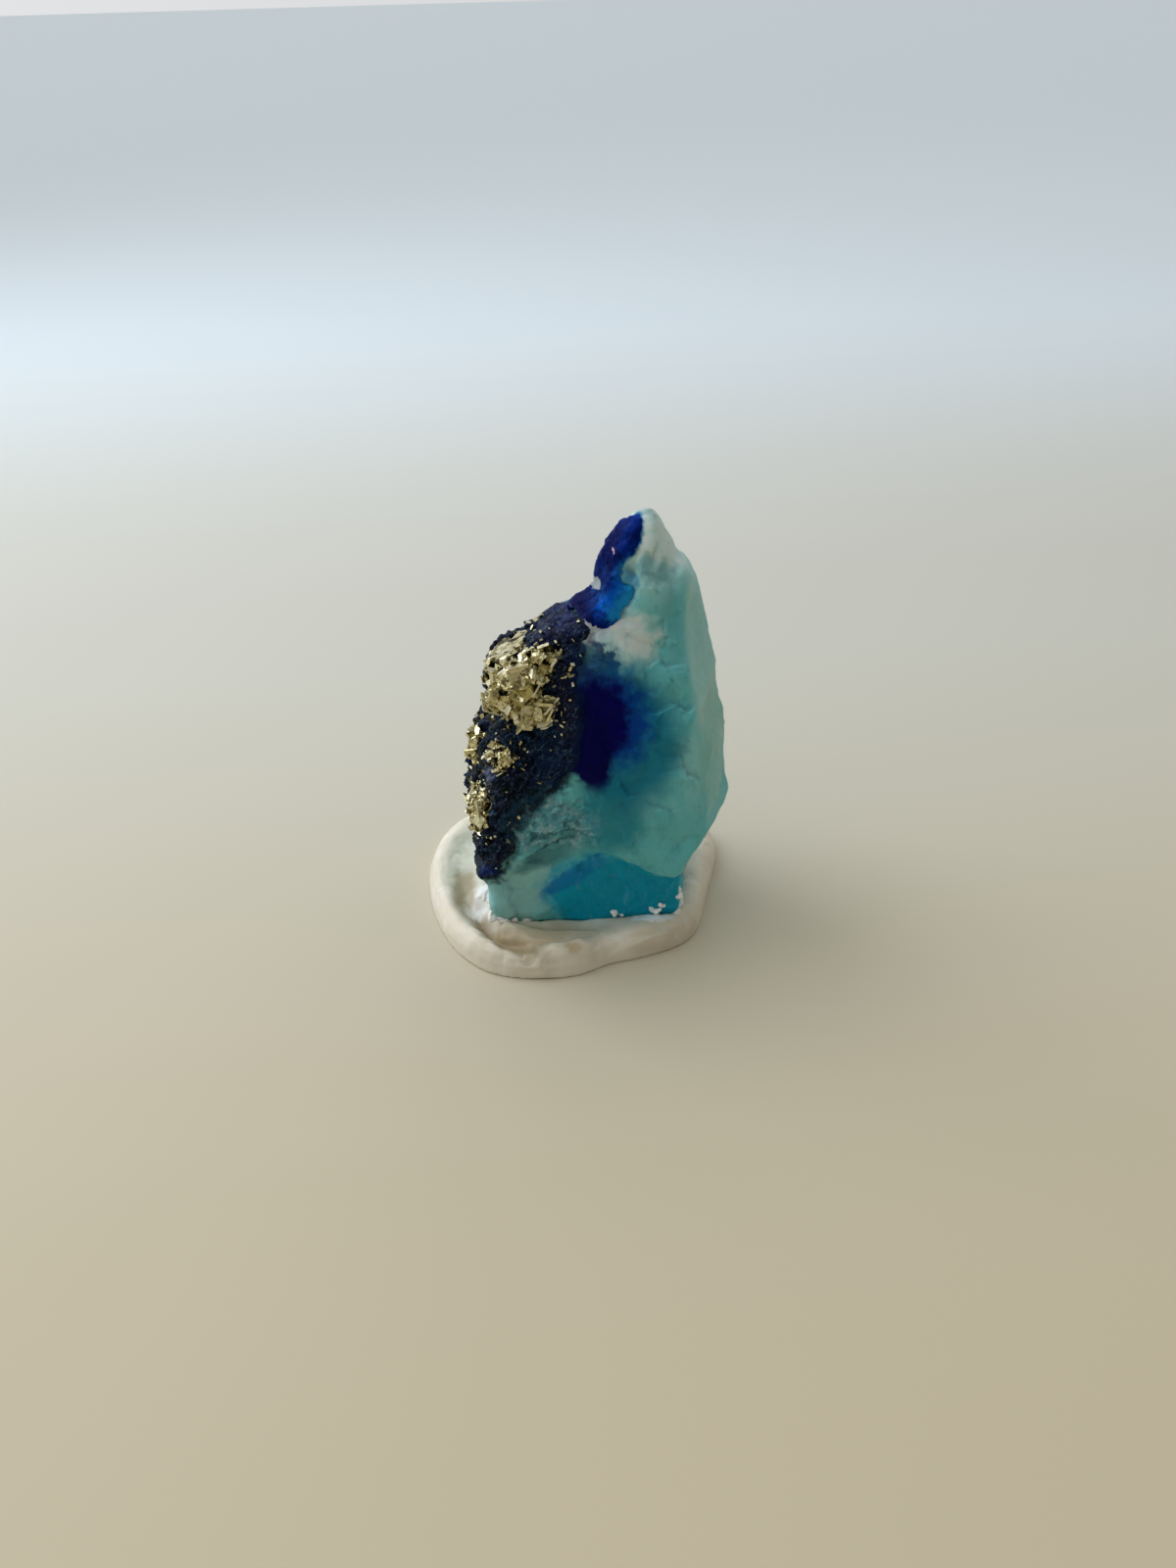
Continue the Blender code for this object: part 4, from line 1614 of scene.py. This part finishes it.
@dataclass
class PuttyStand:
    """The hand-pressed ring and pad of putty that holds the stone up."""

    grain: float = 0.19
    presses: tuple[Lumps, ...] = (Lumps(3.4, 0.22, 41), Lumps(1.5, 0.09, 42))
    # Where its skin creased, from 0 to 1 on the crests, and how deep, in mm.
    creases: Ridges = Ridges((1.6, 1.6, 3.0), 1.0, 43)
    crease_depth: float = 0.07
    # How far its lip reaches toward the stone, and from how far off, in mm.
    grip: float = 0.55
    grip_reach: float = 1.6
    # How much deeper the thumb groove is pressed, and the height of the hump beside it, in mm.
    furrow: float = 0.65
    hump: float = 2.35
    # The hump's crown and the groove's middle, as x and y in mm.
    hump_line: Line = ((-6.2, -9.4), (-3.0, -10.5), (2.0, -10.7), (8.0, -10.2))
    groove_line: Line = (
        (-11.8, -1.4), (-10.9, -4.5), (-9.8, -6.6), (-8.2, -8.8), (-6.6, -10.9), (-4.8, -12.3),
        (-2.0, -13.0),
    )

    def build(self, stone: BVHTree) -> Piece:
        """Press and dress the putty.

        Args:
            stone: A tree of the stone that it holds.

        Returns:
            The stand.
        """
        piece = copy_of_nodes("putty_stand", "putty_base")
        regrow(piece, self.grain, softening=6)
        places = places_of(piece)
        top = smooth_step(rows_of(piece, "normal")[:, 2], -0.2, 0.5) * smooth_step(places[:, 2], 0.2, 0.8)
        creases = smooth_step(self.creases.heights(places), 0.86, 1.0) * self.crease_depth
        raise_by(piece, (stacked(self.presses, places) - creases) * top)
        places = places_of(piece)
        raised = self.hump * (1 - smooth_step(self.away_from(self.hump_line, places), 0.6, 2.6))
        places[:, 2] = np.where(places[:, 2] > 0.8, np.maximum(places[:, 2], raised), places[:, 2])
        self.reach_for(stone, places)
        groove = self.groove(places)
        deep = 0.3 + 0.7 * smooth_step(-places[:, 1], 5.0, 9.0)
        places[:, 2] -= groove * deep * self.furrow * smooth_step(places[:, 2], 0.8, 1.6)
        places[:, 2] = np.maximum(places[:, 2], 0.0)
        move_to(piece, places)
        remember(piece, "groove", groove)
        piece.data.shade_smooth()
        hand_over(piece, "putty", ReusablePutty().material(), "putty_base")
        return piece

    def reach_for(self, stone: BVHTree, places: Rows) -> None:
        """Pull the putty's lip over the gap to the stone, and never upwards.

        Args:
            stone: A tree of the stone.
            places: The putty's points, in mm, which are moved.
        """
        for number, place in enumerate(places):
            nearest, _, _, away = stone.find_nearest(Vector(place * MM))
            away /= MM
            if away < self.grip_reach:
                toward = (np.array(nearest) / MM - place) / max(away, 1e-6)
                toward[2] = min(toward[2], 0.0)
                places[number] += toward * self.grip * (1 - away / self.grip_reach) ** 1.2

    def away_from(self, line: Line, places: Rows) -> Values:
        """How far each place is from a line, as seen from above.

        Args:
            line: The line's corners as x and y, in mm.
            places: Rows of x, y and z, in mm.

        Returns:
            One distance a place, in mm.
        """
        flat = places[:, :2]
        nearest = np.full(len(places), np.inf)
        corners = np.array(line)
        for start, end in zip(corners, corners[1:]):
            step = end - start
            along = np.clip(((flat - start) @ step) / (step @ step), 0, 1)
            nearest = np.minimum(nearest, np.linalg.norm(flat - start - along[:, None] * step, axis=1))
        return nearest

    def groove(self, places: Rows) -> Values:
        """Where painted shade and dust lie in the thumb groove.

        Args:
            places: Points on the putty.

        Returns:
            A value from 0 to 1 a place.
        """
        away = self.away_from(self.groove_line, places) + Lumps(1.4, 0.5, 44).heights(places)
        taper = (1 - smooth_step(places[:, 0], -4.2, -1.4)) * (1 - smooth_step(places[:, 1], -5.0, -1.2))
        return taper * (1 - smooth_step(away, 0.1, 1.7))


@dataclass
class PuttyCrumbs:
    """White crumbs of putty left on the foot of the stone."""

    # Where each one lies and how big it is: x, y, z and radius, in mm.
    crumbs: tuple[tuple[float, float, float, float], ...] = (
        (-9.4, -4.6, 2.9, 1.1), (-9.6, -5.6, 2.5, 0.9), (-9.0, -6.7, 2.2, 0.8), (-8.1, -7.6, 1.9, 0.7),
        (-7.0, -8.2, 1.7, 0.6), (-5.7, -8.4, 1.6, 0.5), (-4.4, -8.4, 1.5, 0.45), (3.9, -8.3, 2.8, 0.34),
        (4.4, -8.4, 2.5, 0.22), (7.3, -8.5, 3.1, 0.3), (7.9, -8.4, 2.8, 0.4), (8.6, -8.3, 3.3, 0.26),
        (8.2, -8.4, 3.6, 0.16), (10.3, -7.7, 4.3, 0.5), (10.4, -7.6, 5.0, 0.36), (10.6, -6.8, 2.2, 0.8),
        (10.2, -7.8, 2.0, 0.7), (9.0, -8.2, 1.8, 0.5), (7.8, -8.3, 1.8, 0.4),
    )
    # Half widths as shares of the radius, the last one away from the stone.
    flat: Point = (1.0, 0.8, 0.5)
    relief: tuple[Lumps, ...] = (Lumps(0.5, 0.3, 51), Lumps(0.2, 0.12, 52))

    def build(self, stone: BVHTree) -> Piece:
        """Shape and dress the crumbs.

        Args:
            stone: A tree of the stone that they lie on.

        Returns:
            The crumbs as one object.
        """
        work = bmesh.new()
        for x, y, z, radius in self.crumbs:
            at, normal, _, _ = stone.find_nearest(Vector((x, y, z)) * MM)
            turn = normal.to_track_quat("Z", "Y").to_matrix().to_4x4()
            placed = Matrix.Translation(at) @ turn @ Matrix.Diagonal((*self.flat, 1.0))
            bmesh.ops.create_icosphere(work, subdivisions=4, radius=radius * MM, matrix=placed)
        piece = from_work("putty_crumbs", work)
        places = places_of(piece)
        raise_by(piece, stacked(self.relief, places))
        piece.data.shade_smooth()
        remember(piece, "groove", np.zeros(len(places)))
        hand_over(piece, "putty", ReusablePutty("clean_putty", body="#f3f2ec").material())
        return piece


@dataclass(frozen=True)
class Viewpoint:
    """The photograph's camera."""

    # Where it stands in mm, degrees that it looks down and rolls, and its focal length in pixels.
    place: Point = (1.7, -94.5, 75.5)
    pitch: float = 33.8
    roll: float = -1.6
    focal_pixels: float = 1202.0

    def build(self) -> None:
        """Set the camera up."""
        lens = bpy.data.cameras.new("camera")
        lens.sensor_width = 36.0
        lens.lens = lens.sensor_width * self.focal_pixels / PHOTO_HEIGHT
        lens.clip_start = MM
        camera = in_scene("camera", lens)
        pitch = math.radians(self.pitch)
        ahead = Vector((0.0, math.cos(pitch), -math.sin(pitch)))
        upward = Vector((0.0, math.sin(pitch), math.cos(pitch)))
        level = Matrix((Vector((1.0, 0.0, 0.0)), upward, -ahead)).transposed()
        turned = level @ Matrix.Rotation(math.radians(self.roll), 3, "Z")
        camera.matrix_world = Matrix.Translation(Vector(self.place) * MM) @ turned.to_4x4()
        bpy.context.scene.camera = camera


@dataclass
class Studio:
    """A plain pale floor, warm with painted shade in front and cool with painted light far off, in soft
    light from the upper left and behind.
    """

    # The floor's warm colour in front, made darker with painted shade.
    front_shade_colour: str = "#c5ba9e"
    # The floor's paler, cooler colours further off, which are painted light, and how far along Y each starts
    # and is full, in mm.
    distances: tuple[tuple[str, float, float], ...] = (("#cac9bd", -60.0, 70.0), ("#dce6ea", 60.0, 260.0))
    radius: float = 30000.0
    sides: int = 64
    # Where the lamp stands, what it faces and its width, in mm, and its power in watts.
    lamp_place: Point = (-240.0, 110.0, 300.0)
    lamp_aim: Point = (0.0, 0.0, 18.0)
    lamp_size: float = 260.0
    lamp_power: float = 0.6
    lamp_colour: str = "#eef4ff"
    # The way to the sky's brightest part, and the cosine from it where the sky is dimmest.
    brightest: Point = (-0.5, 0.45, 0.75)
    dimmest: float = -0.6
    bright: str = "#f6f8fb"
    dim: str = "#5e594e"
    glow: float = 0.9

    def build(self) -> None:
        """Set up the floor, the lamp and the sky."""
        self.floor()
        self.lamp()
        self.sky()

    def floor(self) -> None:
        """Build the floor as one wide disc, so far-reaching that no edge shows."""
        work = bmesh.new()
        bmesh.ops.create_circle(work, cap_ends=True, radius=self.radius * MM, segments=self.sides)
        sheet = from_work("floor", work)
        ground = Ground("studio_floor", self.front_shade_colour)
        away = ground.add("SeparateXYZ", {0: ground.place}, "Y")
        # Painted shade in front and painted light far off: the floor turns paler and cooler along Y.
        for colour, start, full in self.distances:
            ground.lay(colour, ground.add("MapRange", rise(away, start, full), interpolation_type=EASED))
        sheet.data.materials.append(ground.finish(Roughness=0.6))

    def lamp(self) -> None:
        """Add one soft square lamp that faces the stone."""
        light = bpy.data.lights.new("soft_lamp", "AREA")
        light.energy = self.lamp_power
        light.size = self.lamp_size * MM
        light.color = linear(self.lamp_colour)[:3]
        place = Vector(self.lamp_place)
        turn = (Vector(self.lamp_aim) - place).to_track_quat("-Z", "Y").to_matrix().to_4x4()
        in_scene("soft_lamp", light).matrix_world = Matrix.Translation(place * MM) @ turn

    def sky(self) -> None:
        """Light the scene softly: bright and cool from behind and the upper left, dim and warm in front."""
        world = bpy.data.worlds.new("studio")
        bpy.context.scene.world = world
        world.use_nodes = True
        tree = world.node_tree
        tree.nodes.clear()
        heading = add_node(tree, "TexCoord", output="Generated")
        toward = {0: heading, 1: Vector(self.brightest).normalized()}
        nearness = add_node(tree, "VectorMath", toward, "Value", operation="DOT_PRODUCT")
        share = add_node(tree, "MapRange", rise(nearness, self.dimmest, 1.0))
        tones = {"Factor": share, MIX_A: linear(self.dim), MIX_B: linear(self.bright)}
        tone = add_node(tree, "Mix", tones, MIX_RESULT, data_type="RGBA")
        glow = add_node(tree, "Background", {"Color": tone, "Strength": self.glow})
        add_node(tree, "OutputWorld", {"Surface": glow})


PATCHES = (
    PyritePatch(
        "pyrite_upper_cluster",
        Habit(84, (0.45, 1.1), (0.1, 0.2), tumble=0.34),
        61,
        nuggets=(((-3.9, -2.5, 29.8), 0.95), ((-7.2, -2.6, 25.5), 0.75), ((-2.0, -8.0, 23.9), 0.4)),
        limits=CLUSTER_LIMITS,
    ),
    PyritePatch("pyrite_edge_band", Habit(70, (0.25, 0.8), (0.1, 0.25), tumble=0.45), 62),
    PyritePatch("pyrite_middle_cluster", Habit(22, (0.2, 0.6), (0.1, 0.25), tumble=0.4), 63),
    PyritePatch("pyrite_lower_cluster", Habit(56, (0.25, 0.8), (0.1, 0.25), tumble=0.45), 64),
)


def main() -> None:
    """Build every piece of the specimen and the studio around it."""
    logging.basicConfig(level=logging.INFO, format="%(name)s: %(message)s")
    bpy.context.scene.view_settings.view_transform = "Standard"
    bpy.context.scene.view_settings.look = "Medium High Contrast"
    skin = StoneSkin()
    stone = search_tree(CalciteBody().build(skin))
    DarkMatrix().build(skin)
    AfghaniteCrest().build(skin)
    bpy.data.objects.remove(skin.mould)
    pyrite = BrassyPyrite().material()
    rock = search_tree("dark_matrix", "calcite_body")
    for patch in PATCHES:
        patch.build(pyrite, rock)
    patches = search_tree(*(patch.node for patch in PATCHES))
    PyriteGrains().build(pyrite, patches, search_tree("calcite_body"))
    PuttyStand().build(stone)
    PuttyCrumbs().build(stone)
    Viewpoint().build()
    Studio().build()


if __name__ == "__main__":
    main()
